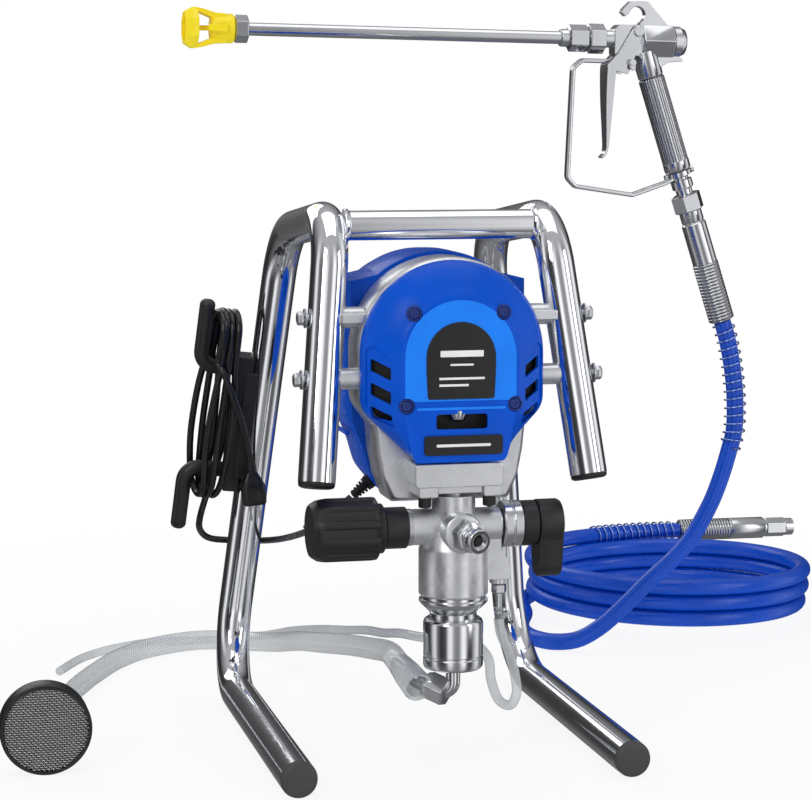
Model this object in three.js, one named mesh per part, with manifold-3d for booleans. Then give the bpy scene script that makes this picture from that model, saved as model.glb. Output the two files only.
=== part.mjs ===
// Airless paint sprayer on a tubular stand, with its gun, extension wand and hoses.
// Working frame (mm): X right, Y towards the back, Z up, floor at Z = 0, front foot ends at Y = 0,
// the stand's plane of symmetry at X = 0. The finished group is moved so that its origin is the
// bottom centre of the box around everything but the free cords and hoses.
import * as THREE from 'three';
import { mergeVertices } from 'three/addons/utils/BufferGeometryUtils.js';
import Module from 'manifold-3d';

// ---------- driving dimensions ----------
const GAP = 0.35;                 // clearance kept between touching pieces

const TUBE_R = 15;                // stand tube, outer radius
const TUBE_WALL = 1.6;
const SPLAY = 0.107;              // how far the side frames lean outward per mm of drop
const TOP_Z = 448.2;              // corner height of the side frames
const TOP_HALF_WIDTH = 89.9;      // half distance between the frames at TOP_Z
const FOOT_END = [0, TUBE_R];     // [y, z] corners of one side frame
const REAR_BOTTOM = [366.7, TUBE_R];
const REAR_TOP = [294, 427.8];
const FRONT_TOP = [95.7, TOP_Z];
const LEG_END = [51.1, 240.7];
const BEND_RADII = [0, 62, 58, 46, 0];
const CROSSBAR = { y: 100, z: 441, r: 12 };
const CAP_LENGTH = 4;
const MOUNT_BOLT_Z = [369, 321];  // heights of the leg bolts
const BOLT_R = 3;

const PUMP_Y = 54;                // pump axis is vertical at X = 0, Y = PUMP_Y
const COVER = { front: 30, back: 62, r: 75, centre: 340, chin: 256, chinHalf: 36, chamfer: 297 };
const CASE_BACK = 105;            // rear face of the gear housing
const CRANK_Z = 305;
const THROW = 8;                  // crank pin offset, so the piston stroke is 16
const MOTOR_Z = 350;
const TEETH = { motor: 6, idler: 30, idlerPinion: 9, crank: 28 };
const IDLER = { x: -28.7, z: 328.3 };
const SHROUD_BACK = 226;
const GLAND_AT = [-51.5, 130, 229.5];    // where the power cord leaves the shroud
const GLAND_AXIS = [-0.763, 0, -0.646];
const KNOB_Z = 202;               // axis of the pressure sensor, knob and prime valve
const NUT_BOTTOM = 86;

const GUN_AT = [241.8, 430, 599.4];   // where the wand axis enters the gun body
const GUN_TILT = THREE.MathUtils.degToRad(1.17);
const GRIP_TOP = [48.2, -35.5];       // [along, up] start of the knurled grip, gun frame
const GRIP_LEAN = THREE.MathUtils.degToRad(19);
const TRIGGER_PIVOT = [30.7, 7.4];
const TRIGGER_SHOULDER_Z = -28;
const TRIGGER_LENGTH = 84;
const TRIGGER_NARROWING = 0.5;

const HOSE_D = 16.5;
const COIL = { x: 378, y: 625, r: 141, turns: 3 };
const SUCTION_D = 19;
const RETURN_D = 8;
const CORD_D = 6;
const HANK = { z: 269, half: 88, width: 22, slot: 9.5, inner: 29, outer: 51 };

// ---------- materials ----------
const material = (color, roughness, metalness) =>
  new THREE.MeshStandardMaterial({ color, roughness, metalness });
const CHROME = material(0xc8cacc, 0.12, 1);
const CAST = material(0xb4b6b8, 0.45, 0.9);
const STEEL = material(0x8d9094, 0.35, 1);
const BRONZE = material(0xa5793c, 0.4, 1);
const COPPER = material(0xa8582c, 0.4, 0.9);
const BLUE = material(0x0633c8, 0.3, 0);
const BLUE_HOSE = material(0x0430b8, 0.25, 0);
const BLACK = material(0x1b1b1d, 0.5, 0);
const RUBBER = material(0x111112, 0.7, 0);
const YELLOW = material(0xf6c400, 0.4, 0);
const CLEAR = material(0xe6e9ea, 0.2, 0);
const SMOKE = material(0xa9acae, 0.2, 0);

// ---------- manifold helpers ----------
const wasm = await Module();
wasm.setup();

function signedVolume(geometry) {
  const p = geometry.attributes.position;
  const index = geometry.index.array;
  const [a, b, c] = [new THREE.Vector3(), new THREE.Vector3(), new THREE.Vector3()];
  let volume = 0;
  for (let i = 0; i < index.length; i += 3) {
    a.fromBufferAttribute(p, index[i]);
    b.fromBufferAttribute(p, index[i + 1]);
    c.fromBufferAttribute(p, index[i + 2]);
    volume += a.dot(b.cross(c)) / 6;
  }
  return volume;
}

// Merges shared vertices and turns every face outward.
function closed(geometry) {
  const bare = geometry.clone();
  bare.deleteAttribute('normal');
  bare.deleteAttribute('uv');
  const merged = mergeVertices(bare, 1e-4);
  const kept = [];
  const index = merged.index.array;
  for (let i = 0; i < index.length; i += 3) {
    const [a, b, c] = [index[i], index[i + 1], index[i + 2]];
    if (a !== b && b !== c && c !== a) kept.push(a, b, c);
  }
  merged.setIndex(kept);
  if (signedVolume(merged) < 0) {
    for (let i = 0; i < kept.length; i += 3) [kept[i], kept[i + 1]] = [kept[i + 1], kept[i]];
    merged.setIndex(kept);
  }
  return merged;
}

function toManifold(geometry) {
  const g = closed(geometry);
  return new wasm.Manifold(new wasm.Mesh({
    numProp: 3,
    vertProperties: new Float32Array(g.attributes.position.array),
    triVerts: new Uint32Array(g.index.array),
  }));
}

function fromManifold(solid) {
  const m = solid.getMesh();
  const geometry = new THREE.BufferGeometry();
  geometry.setAttribute('position', new THREE.BufferAttribute(new Float32Array(m.vertProperties), 3));
  geometry.setIndex([...m.triVerts]);
  return geometry;
}

function join(...geometries) {
  return fromManifold(geometries.map(toManifold).reduce((a, b) => a.add(b)));
}

function cut(base, ...tools) {
  return fromManifold(tools.map(toManifold).reduce((a, b) => a.subtract(b), toManifold(base)));
}

// ---------- shape helpers ----------
const v3 = (x, y, z) => new THREE.Vector3(x, y, z);

// A box between two corners.
function box(x0, x1, y0, y1, z0, z1) {
  return new THREE.BoxGeometry(x1 - x0, y1 - y0, z1 - z0)
    .translate((x0 + x1) / 2, (y0 + y1) / 2, (z0 + z1) / 2);
}

// A turned piece about +Z: profile is [radius, height] pairs from axis to axis, or a closed loop.
function turned(profile, sides = 16) {
  const points = profile.map(([r, z]) => new THREE.Vector2(r, z));
  return new THREE.LatheGeometry(points, sides).rotateX(Math.PI / 2);
}

function rod(r, z0, z1, sides = 16) {
  return turned([[0, z0], [r, z0], [r, z1], [0, z1]], sides);
}

function pipe(r, bore, z0, z1, sides = 16) {
  return turned([[bore, z0], [r, z0], [r, z1], [bore, z1], [bore, z0]], sides);
}

// A hexagonal bar about +Z, given across its flats.
const hexBar = (flats, z0, z1) => rod(flats / Math.sqrt(3), z0, z1, 6);

// Turns a piece made about +Z so that its axis lies along another direction, then moves it.
function aim(geometry, direction, at = [0, 0, 0]) {
  const turn = new THREE.Quaternion().setFromUnitVectors(v3(0, 0, 1), v3(...direction).normalize());
  return geometry.applyQuaternion(turn).translate(...at);
}

const LEFTWARD = [-1, 0, 0];
const RIGHTWARD = [1, 0, 0];
const FORWARD = [0, -1, 0];
const BACKWARD = [0, 1, 0];

// A plate in the XZ plane: [x, z] outline, from y0 to y1.
function plateXZ(outline, y0, y1, holes = []) {
  const shape = new THREE.Shape(outline.map(([x, z]) => new THREE.Vector2(x, z)));
  for (const hole of holes) shape.holes.push(new THREE.Path(hole.map(([x, z]) => new THREE.Vector2(x, z))));
  return new THREE.ExtrudeGeometry(shape, { depth: y1 - y0, bevelEnabled: false, curveSegments: 6 })
    .rotateX(Math.PI / 2).translate(0, y1, 0);
}

// Points on an arc, as [x, z] pairs, from angle a to angle b in degrees.
function arc(cx, cz, r, a, b, count) {
  return Array.from({ length: count + 1 }, (_, i) => {
    const t = THREE.MathUtils.degToRad(a + ((b - a) * i) / count);
    return [cx + r * Math.cos(t), cz + r * Math.sin(t)];
  });
}

// A loft between outlines with equal counts, each given as { y, outline: [[x, z], ...] }.
function loftXZ(rings) {
  const n = rings[0].outline.length;
  const position = rings.flatMap(({ y, outline }) => outline.flatMap(([x, z]) => [x, y, z]));
  const index = [];
  for (let k = 0; k + 1 < rings.length; k++) {
    for (let i = 0; i < n; i++) {
      const [a, b] = [k * n + i, k * n + ((i + 1) % n)];
      index.push(a, b, b + n, a, b + n, a + n);
    }
  }
  const capOf = (ring) => THREE.ShapeUtils.triangulateShape(
    ring.outline.map(([x, z]) => new THREE.Vector2(x, z)), []);
  const last = (rings.length - 1) * n;
  for (const [a, b, c] of capOf(rings[0])) index.push(a, c, b);
  for (const [a, b, c] of capOf(rings[rings.length - 1])) index.push(last + a, last + b, last + c);
  const geometry = new THREE.BufferGeometry();
  geometry.setAttribute('position', new THREE.Float32BufferAttribute(position, 3));
  geometry.setIndex(index);
  return geometry;
}

const scaleOutline = (outline, sx, sz, cz) => outline.map(([x, z]) => [x * sx, cz + (z - cz) * sz]);

// A path through given points, with one extrusion step per point.
class Polyline extends THREE.Curve {
  constructor(points) {
    super();
    this.points = points;
  }

  getPoint(t, target = new THREE.Vector3()) {
    const f = t * (this.points.length - 1);
    const i = Math.min(Math.floor(f + 1e-9), this.points.length - 2);
    return target.lerpVectors(this.points[i], this.points[i + 1], f - i);
  }

  getPointAt(u, target) {
    return this.getPoint(u, target);
  }

  getTangentAt(u, target = new THREE.Vector3()) {
    const i = Math.round(u * (this.points.length - 1));
    const before = this.points[Math.max(i - 1, 0)];
    const after = this.points[Math.min(i + 1, this.points.length - 1)];
    const here = this.points[i];
    const into = here.clone().sub(before);
    const out = after.clone().sub(here);
    if (into.lengthSq() > 0) into.normalize();
    if (out.lengthSq() > 0) out.normalize();
    return target.copy(into.add(out)).normalize();
  }
}

// Corner points joined by straight runs, each corner rounded to its radius.
function rounded(corners, radii, perBend = 4) {
  const points = [corners[0].clone()];
  for (let i = 1; i + 1 < corners.length; i++) {
    const into = corners[i].clone().sub(corners[i - 1]).normalize();
    const out = corners[i + 1].clone().sub(corners[i]).normalize();
    const turn = into.angleTo(out);
    const back = radii[i] * Math.tan(turn / 2);
    const start = corners[i].clone().addScaledVector(into, -back);
    const side = out.clone().addScaledVector(into, -out.dot(into)).normalize();
    for (let k = 0; k <= perBend; k++) {
      const a = (turn * k) / perBend;
      points.push(start.clone()
        .addScaledVector(into, radii[i] * Math.sin(a))
        .addScaledVector(side, radii[i] * (1 - Math.cos(a))));
    }
  }
  points.push(corners[corners.length - 1].clone());
  return points;
}

// A regular polygon around a circle of radius r, with a flat side facing down.
const ringPoints = (r, sides) => Array.from({ length: sides }, (_, i) => {
  const a = (2 * Math.PI * (i + 0.5)) / sides;
  const corner = r / Math.cos(Math.PI / sides);
  return new THREE.Vector2(corner * Math.cos(a), corner * Math.sin(a));
});

function sweep(points, shape) {
  return new THREE.ExtrudeGeometry(shape, {
    steps: points.length - 1,
    extrudePath: new Polyline(points),
    curveSegments: 4,
  });
}

function tube(points, r, bore = 0, sides = 12) {
  const shape = new THREE.Shape(ringPoints(r, sides));
  if (bore > 0) shape.holes.push(new THREE.Path(ringPoints(bore, sides)));
  return sweep(points, shape);
}

// A smooth route through hand-set points, resampled to an even step.
function smoothRoute(points, step) {
  const curve = new THREE.CatmullRomCurve3(points.map((p) => v3(...p)), false, 'centripetal');
  const count = Math.max(2, Math.round(curve.getLength() / step));
  return curve.getSpacedPoints(count);
}

function gearOutline(tip, depth, teeth) {
  return Array.from({ length: teeth * 4 }, (_, i) => {
    const a = (2 * Math.PI * (i + 0.5)) / (teeth * 4);
    const r = i % 4 < 2 ? tip : tip - depth;
    return [r * Math.cos(a), r * Math.sin(a)];
  });
}

const shifted = (outline, dx, dz) => outline.map(([x, z]) => [x + dx, z + dz]);

// ---------- assembly bookkeeping ----------
const machine = new THREE.Group();
const gun = new THREE.Group();
gun.position.set(...GUN_AT);
gun.rotation.y = GUN_TILT;
machine.add(gun);
const cords = new THREE.Group();
machine.add(cords);

function part(name, geometry, finish, parent = machine) {
  const clean = closed(geometry);
  clean.computeVertexNormals();
  const mesh = new THREE.Mesh(clean, finish);
  mesh.name = name;
  parent.add(mesh);
}

// ---------- stand ----------
const sideX = (z, side) => side * (TOP_HALF_WIDTH + SPLAY * (TOP_Z - z));
const onFrame = (side, [y, z]) => v3(sideX(z, side), y, z);
const legY = (z) => LEG_END[0] + ((z - LEG_END[1]) * (FRONT_TOP[0] - LEG_END[0])) / (TOP_Z - LEG_END[1]);
const CORNERS = [FOOT_END, REAR_BOTTOM, REAR_TOP, FRONT_TOP, LEG_END];

function framePath(side) {
  const corners = CORNERS.map((corner) => onFrame(side, corner));
  corners[0].y += CAP_LENGTH + GAP;
  return rounded(corners, BEND_RADII);
}

function frameSolid(side, extra) {
  return tube(framePath(side), TUBE_R + extra, 0, 12);
}

function makeSideFrame(side, label) {
  const holes = MOUNT_BOLT_Z.map((z) =>
    aim(rod(BOLT_R + GAP, -TUBE_R - 4, TUBE_R + 4, 8), RIGHTWARD, [sideX(z, side), legY(z), z]));
  const frame = tube(framePath(side), TUBE_R, TUBE_R - TUBE_WALL, 12);
  part(`side_frame_${label}`, cut(frame, ...holes), CHROME);
}

function makeFrameCaps(side, label) {
  const plug = TUBE_R - TUBE_WALL - GAP - 0.2;
  const cap = () => turned([[0, 0], [TUBE_R - 1, 0], [TUBE_R - 0.2, 1], [TUBE_R - 0.2, CAP_LENGTH],
    [plug, CAP_LENGTH], [plug, CAP_LENGTH + 12], [0, CAP_LENGTH + 12]], 12);
  const foot = onFrame(side, FOOT_END);
  part(`foot_cap_${label}`, aim(cap(), BACKWARD, foot.toArray()), RUBBER);
  const end = onFrame(side, LEG_END);
  const up = onFrame(side, FRONT_TOP).sub(end).normalize();
  const start = end.addScaledVector(up, -CAP_LENGTH - GAP);
  part(`leg_cap_${label}`, aim(cap(), up.toArray(), start.toArray()), RUBBER);
}

function makeLegBolts(side, label) {
  const inward = side > 0 ? LEFTWARD : RIGHTWARD;
  MOUNT_BOLT_Z.forEach((z, i) => {
    const bolt = join(hexBar(10, -6, 0), rod(8, -0.5, 1.5, 12), rod(BOLT_R, 0, 38, 8));
    const seat = [sideX(z, side) + side * (TUBE_R + 3), legY(z), z];
    part(`leg_bolt_${label}_${i + 1}`, aim(bolt, inward, seat), STEEL);
  });
}

function makeCrossbar() {
  const bar = aim(rod(CROSSBAR.r, -88, 88, 12), RIGHTWARD, [0, CROSSBAR.y, CROSSBAR.z]);
  part('crossbar', cut(bar, frameSolid(-1, GAP), frameSolid(1, GAP)), CHROME);
}

// ---------- cord bracket and its local frame on the left rear leg ----------
const REAR_LEAN = (REAR_BOTTOM[0] - REAR_TOP[0]) / (REAR_TOP[1] - REAR_BOTTOM[1]);
const rearLegY = (z) => REAR_BOTTOM[0] - (z - REAR_BOTTOM[1]) * REAR_LEAN;

function bracketBasis(z) {
  const along = v3(SPLAY, -REAR_LEAN, 1).normalize();
  const out = v3(-1, 0, 0).addScaledVector(along, along.x).normalize();
  const across = out.clone().cross(along);
  return new THREE.Matrix4().makeBasis(along, across, out).setPosition(sideX(z, -1), rearLegY(z), z);
}

// Makes a hook of round bar: [along, out] corners in the bracket frame.
function hookBar(corners) {
  const path = rounded(corners.map(([a, o]) => v3(a, 0, o)), [0, 13, 0], 4);
  return tube(path, 7, 0, 12);
}

function makeCordBracket() {
  const plate = box(-63, 63, -11, 11, TUBE_R + GAP, 27);
  const saddle = aim(rod(TUBE_R + 1, -80, 80, 18), RIGHTWARD);
  const back = cut(box(-50, 50, -13, 13, 8, 20), saddle);
  const upper = hookBar([[50, 24], [50, 60], [110, 60]]);
  const lower = hookBar([[-45, 24], [-45, 62], [-103, 62]]);
  const body = join(cut(plate, saddle), back, upper, lower);
  part('cord_bracket', body.applyMatrix4(bracketBasis(254)), BLACK);
}

function stadium(half, width, count) {
  return [...arc(half - width, 0, width, -90, 90, count), ...arc(width - half, 0, width, 90, 270, count)];
}

function makeCordHank() {
  const toPoint = ([a, b]) => new THREE.Vector2(a, b);
  const shape = new THREE.Shape(stadium(HANK.half, HANK.width, 8).map(toPoint));
  const inner = HANK.half - HANK.width + HANK.slot;
  shape.holes.push(new THREE.Path(stadium(inner, HANK.slot, 5).map(toPoint)));
  const ring = new THREE.ExtrudeGeometry(shape, { depth: HANK.outer - HANK.inner, bevelEnabled: false })
    .translate(0, 0, HANK.inner).applyMatrix4(bracketBasis(HANK.z));
  part('power_cord_hank', ring, BLACK, cords);
}

// ---------- gear housing ----------
const mirrored = (half) => [...half, ...half.slice().reverse().map(([x, z]) => [-x, z])];

// The outline seen from the front: a round top on straight sides, then a tapering chin.
function archOutline(r, centre, side, count = 12) {
  const left = side.map(([x, z]) => [-x, z]);
  return [...arc(0, centre, r, 0, 180, count), ...left, ...side.slice().reverse()];
}

function caseOutline(inset) {
  const side = [[75.5, 300], [63, 283], [61, 262], [57, 241], [49, 221]]
    .map(([x, z]) => [x - inset, z + (z < 240 ? inset * 3 : 0)]);
  return archOutline(76 - inset, 341, side);
}

function makeArms(side) {
  const reach = (z) => side * (Math.abs(sideX(z, side)) + 4);
  const pieces = MOUNT_BOLT_Z.flatMap((z) => {
    const [a, b] = [side * 66, reach(z)].sort((p, q) => p - q);
    const plate = box(a, b, COVER.back + 0.6, 104, z - 4, z + 4);
    const boss = aim(rod(9, Math.min(a, b), Math.max(a, b), 16), RIGHTWARD, [0, legY(z), z]);
    return [plate, boss];
  });
  return pieces;
}

function makeGearHousing() {
  const front = COVER.back + 0.6;
  const outline = caseOutline(0);
  const shell = loftXZ([
    { y: front, outline: scaleOutline(outline, 0.975, 0.985, 330) },
    { y: front + 4, outline },
    { y: CASE_BACK, outline },
  ]);
  const pocketOutline = caseOutline(6).map(([x, z]) => [x, Math.max(z, 262)]);
  const pocket = loftXZ([{ y: front - 4, outline: pocketOutline }, { y: 98, outline: pocketOutline }]);
  const chin = join(box(-36, 36, 33, 70, 238, 255.3), box(-33, -17, 33, 70, 228, 240),
    box(20, 36, 33, 70, 228, 240), box(-18, 21, 36, 70, 230, 240));
  const bolts = [-1, 1].flatMap((side) => MOUNT_BOLT_Z.map((z) =>
    aim(rod(BOLT_R + GAP, -130, 130, 8), RIGHTWARD, [0, legY(z), z])));
  const coverSpace = box(-100, 100, 20, front, COVER.chin, 430);
  const body = cut(join(shell, chin, ...makeArms(-1), ...makeArms(1)), pocket, coverSpace);
  const post = aim(rod(3, -99, -66, 10), FORWARD, [IDLER.x, 0, IDLER.z]);
  part('gear_housing', cut(join(body, post), frameSolid(-1, GAP), frameSolid(1, GAP), bolts[0], bolts[1],
    rod(17.5 + GAP, 200, 227.8).translate(0, PUMP_Y, 0),
    rod(9, 200, 270, 16).translate(0, PUMP_Y, 0),
    aim(rod(6.4, -110, -90, 12), FORWARD, [0, 0, CRANK_Z]),
    aim(rod(13 + GAP, -110, -90, 16), FORWARD, [0, 0, MOTOR_Z])), CAST);
}

// ---------- front cover ----------
function coverRim(inset) {
  const chin = COVER.chinHalf;
  const side = [[COVER.r, COVER.chamfer], [chin + 2, COVER.chin + 1], [chin - 4, COVER.chin]]
    .map(([x, z]) => [x - inset, z + (z < 280 ? inset : 0)]);
  return archOutline(COVER.r - inset, COVER.centre, side);
}

function coverFace(inset) {
  const side = [[47, 305], [38, 262], [34, COVER.chin + 1]]
    .map(([x, z]) => [x - inset, z + (z < 280 ? inset : 0)]);
  return archOutline(48 - inset, COVER.centre, side);
}

function makeFrontCover() {
  const outer = loftXZ([
    { y: COVER.front, outline: coverFace(1) },
    { y: COVER.front + 1.5, outline: coverFace(-1) },
    { y: 52, outline: coverRim(2) },
    { y: COVER.back, outline: coverRim(0) },
  ]);
  const inner = loftXZ([
    { y: COVER.front + 2.6, outline: coverFace(2.5) },
    { y: 53.5, outline: coverRim(5) },
    { y: COVER.back + 1, outline: coverRim(3) },
  ]);
  const slot = aim(box(-20, 20, -6.5, 6.5, -60, 0), BACKWARD, [0, 80, 289]);
  const screwAt = [[-37.5, 375], [35, 375], [-43.5, 302], [44.5, 302]];
  const wells = screwAt.map(([x, z]) => aim(rod(6.5, 20, 33.5, 12), BACKWARD, [x, 0, z]));
  const posts = screwAt.map(([x, z]) => aim(rod(8, 32, 44, 12), BACKWARD, [x, 0, z]));
  const holes = screwAt.map(([x, z]) => aim(rod(2.2, 20, 80, 8), BACKWARD, [x, 0, z]));
  const vents = [-1, 1].flatMap((side) => [331, 312, 293].map((z) => {
    const slit = new THREE.BoxGeometry(40, 14, 9).rotateY(side * 0.6);
    return slit.translate(side * 66, 50, z);
  }));
  const stemSpace = box(-30, 30, 36, 70, 250, 262);
  const shell = cut(outer, inner, stemSpace);
  const ribbed = cut(join(shell, ...posts), ...wells, ...holes, slot, ...vents);
  part('front_cover', ribbed, BLUE);
}

// ---------- gear train, crank and piston ----------
function gearPlate(tip, depth, teeth, x, z, y0, y1) {
  return plateXZ(shifted(gearOutline(tip, depth, teeth), x, z), y0, y1);
}

function alongY(r, y0, y1, x, z, sides = 16) {
  return aim(rod(r, y0, y1, sides), BACKWARD, [x, 0, z]);
}

function makeGearTrain() {
  const bore = alongY(3 + GAP, 60, 99, IDLER.x, IDLER.z, 12);
  const idler = join(gearPlate(29.6, 1.6, TEETH.idler, IDLER.x, IDLER.z, 86, 94),
    gearPlate(8.7, 1.6, TEETH.idlerPinion, IDLER.x, IDLER.z, 66.5, 87));
  part('idler_gear', cut(idler, bore), STEEL);
  const crank = join(gearPlate(27.4, 1.6, TEETH.crank, 0, CRANK_Z, 66, 74), alongY(6, 73, 104.5, 0, CRANK_Z),
    alongY(4, 46, 67, -THROW, CRANK_Z, 12));
  part('crank_gear', crank, STEEL);
}

function makePistonYoke() {
  const [half, lift] = [THROW + 4 + 1, 2 * THROW];
  const window = [[-half, CRANK_Z - half], [half, CRANK_Z - half], [half, CRANK_Z + half + lift],
    [-half, CRANK_Z + half + lift]];
  const outer = [[-half - 5, CRANK_Z - half - 7], [half + 5, CRANK_Z - half - 7],
    [half + 5, CRANK_Z + half + lift + 5], [-half - 5, CRANK_Z + half + lift + 5]];
  const yoke = plateXZ(outer, PUMP_Y - 6, PUMP_Y + 6, [window]);
  const stem = turned([[0, 163], [13.5, 163], [13.5, 169], [8, 169], [8, 279], [10, 281], [10, 287],
    [0, 287]], 16).translate(0, PUMP_Y, 0);
  part('piston_yoke', join(yoke, stem), CHROME);
}

// ---------- motor ----------
function shroudOutline(inset) {
  const half = [[68, 400], [73, 392], [73, 282], [62, 256], [57, 236], [46, 223]]
    .map(([x, z]) => [x - inset, z + (z < 240 ? inset : 0) - (z > 398 ? inset : 0)]);
  const top = arc(0, 342, 78 - inset, 48, 132, 8);
  return [...top, ...half.map(([x, z]) => [-x, z]), ...half.slice().reverse()];
}

function makeShroud() {
  const mid = 335;
  const outer = loftXZ([
    { y: CASE_BACK + GAP, outline: shroudOutline(0) },
    { y: 150, outline: shroudOutline(0) },
    { y: 212, outline: scaleOutline(shroudOutline(2), 0.93, 0.93, mid) },
    { y: SHROUD_BACK, outline: scaleOutline(shroudOutline(4), 0.8, 0.8, mid) },
  ]);
  const inner = loftXZ([
    { y: CASE_BACK - 1, outline: shroudOutline(2.6) },
    { y: 150, outline: shroudOutline(2.6) },
    { y: 211, outline: scaleOutline(shroudOutline(5), 0.93, 0.93, mid) },
    { y: SHROUD_BACK - 3, outline: scaleOutline(shroudOutline(8), 0.8, 0.8, mid) },
  ]);
  const slots = [-36, -24, -12, 0, 12, 24, 36].map((x) => box(x - 2.5, x + 2.5, 205, 240, 322, 378));
  const boss = alongY(15, 214, 224, 0, MOTOR_Z, 12);
  const seat = alongY(11 + GAP, 200, 222, 0, MOTOR_Z, 12);
  const glandHole = aim(rod(4.2 + GAP, -20, 20, 12), GLAND_AXIS, GLAND_AT);
  const switchHole = box(40, 80, 164 - GAP, 188 + GAP, 340 - GAP, 356 + GAP);
  const shell = cut(outer, inner, ...slots);
  part('motor_shroud', cut(join(shell, boss), seat, glandHole, switchHole), BLUE);
}

function makeMotor() {
  const z = MOTOR_Z;
  part('motor_stator', aim(pipe(42, 26, 116, 168, 18), BACKWARD, [0, 0, z]), STEEL);
  const armature = join(gearPlate(5.8, 1.4, TEETH.motor, 0, z, 86, 96), alongY(4, 84, 216, 0, z, 12),
    alongY(24.5, 118, 164, 0, z, 16), alongY(12, 170, 184, 0, z, 12));
  part('armature', armature, COPPER);
  const blades = Array.from({ length: 9 }, (_, i) =>
    new THREE.BoxGeometry(24, 9, 1.6).translate(21, 0, 0).rotateY((i * 2 * Math.PI) / 9));
  const fan = join(alongY(11, -5, 5, 0, 0, 14), aim(rod(34, 3, 5, 18), BACKWARD), ...blades);
  part('cooling_fan', cut(fan, alongY(4 + GAP, -8, 8, 0, 0, 12)).translate(0, 196, z), BLACK);
  part('bearing_front', aim(pipe(13, 4 + GAP, 98.4, CASE_BACK - 0.2, 16), BACKWARD, [0, 0, z]), STEEL);
  part('bearing_rear', aim(pipe(11, 4 + GAP, 213, 220, 12), BACKWARD, [0, 0, z]), STEEL);
}

function makePowerFittings() {
  const gland = turned([[0, -7], [6.6, -7], [6.6, -4.2], [4.2, -4.2], [4.2, 0.5], [6.4, 0.5], [6.4, 3.4],
    [3.6, 20], [0, 20]], 12);
  part('cord_gland', aim(gland, GLAND_AXIS, GLAND_AT), RUBBER);
  const rocker = plateXZ([[66, 344], [72.4, 341.8], [75.4, 343], [73.8, 348], [75.4, 353], [72.4, 354.2],
    [66, 352]], 165, 187);
  part('power_switch', rocker, BLACK);
}

// ---------- pump ----------
const onPump = (geometry) => geometry.translate(0, PUMP_Y, 0);

function makePumpBody() {
  const barrel = turned([[0, 146], [27.5, 146], [28, 147], [28, 184], [26, 190], [19, 205], [17.5, 212],
    [17.5, 227.4], [0, 227.4]], 18);
  const left = aim(rod(14.5, 0, 37.5, 14), LEFTWARD, [0, 0, KNOB_Z]);
  const right = aim(rod(14, 0, 38.3, 14), RIGHTWARD, [0, 0, KNOB_Z]);
  const outlet = aim(turned([[0, 0], [16, 0], [16, 29], [14, 31], [0, 31]], 14), FORWARD, [1, 0, 200]);
  const drain = join(box(14, 46, -9, 9, 158, 182.8), box(14, 38.3, -9, 9, 182, 196),
    rod(8, 154, 160, 12).translate(38, 0, 0));
  const body = join(barrel, left, right, outlet, drain);
  const bore = turned([[0, 140], [15, 140], [15, 192], [9, 196], [9, 240], [0, 240]], 16);
  const ports = [
    aim(rod(6.4, 15, 60, 12), LEFTWARD, [0, 0, KNOB_Z]),
    aim(rod(6.4, 15, 60, 12), RIGHTWARD, [0, 0, KNOB_Z]),
    aim(rod(6.4, 10, 60, 12), FORWARD, [1, 0, 200]),
    rod(3.4, 150, 200, 10).translate(38, 0, 0),
  ];
  part('pump_body', onPump(cut(body, bore, ...ports)), CAST);
}

function makePumpPacking() {
  part('pump_packing', onPump(pipe(14.6, 8 + GAP, 180, 191, 16)), RUBBER);
}

function makeOutlet() {
  const fitting = join(rod(6, -14, 2, 12), hexBar(20, 0.4, 12), rod(8.4, 11, 14, 12), hexBar(15, 13, 16),
    rod(9, 15.5, 23, 14));
  const bored = cut(fitting, rod(3.2, -20, 40, 10));
  part('outlet_fitting', aim(bored, FORWARD, [1, PUMP_Y - 31, 200]), CHROME);
}

function makeSuctionEnd() {
  const seat = turned([[4.5, 110], [15, 110], [15, 127], [19, 127], [19, 132], [27.5, 140.5], [27.5, 143],
    [25.5, 143.4], [25.5, 145.6], [7.5, 145.6], [7.5, 124], [4.5, 121], [4.5, 110]], 18);
  part('suction_valve_seat', onPump(seat), CHROME);
  part('inlet_ball', onPump(new THREE.IcosahedronGeometry(6.4, 1).translate(0, 0, 126)), STEEL);
  const nut = turned([[6.8, NUT_BOTTOM], [22.5, NUT_BOTTOM], [24.3, 88.5], [24.3, 124], [22, 127.5],
    [19.5, 127.5], [19.5, 126.6], [15.4, 126.6], [15.4, 90], [6.8, 90], [6.8, NUT_BOTTOM]], 18);
  const flats = [-1, 1].map((side) => box(side * 27 - 4.5, side * 27 + 4.5, -30, 30, 94, 116));
  part('suction_nut', onPump(cut(nut, ...flats)), CHROME);
}

const ELBOW_END = v3(-17, PUMP_Y + 10, 70);
const ELBOW_DIR = v3(-0.72, 0.62, 0.3).normalize();

function makeElbow() {
  const bend = ELBOW_END.clone().addScaledVector(ELBOW_DIR, -24);
  const path = rounded([v3(0, PUMP_Y, 98), v3(0, PUMP_Y, 60.5), ELBOW_END], [0, 9, 0], 5);
  const flange = onPump(rod(14.8, 90.4, 98, 14));
  const hex = aim(hexBar(18, 11, 22), ELBOW_DIR.toArray(), bend.toArray());
  const barb = aim(rod(7, 20, 40, 12), ELBOW_DIR.toArray(), bend.toArray());
  part('suction_elbow', join(tube(path, 6, 0, 12), flange, hex, barb), CHROME);
}

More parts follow.
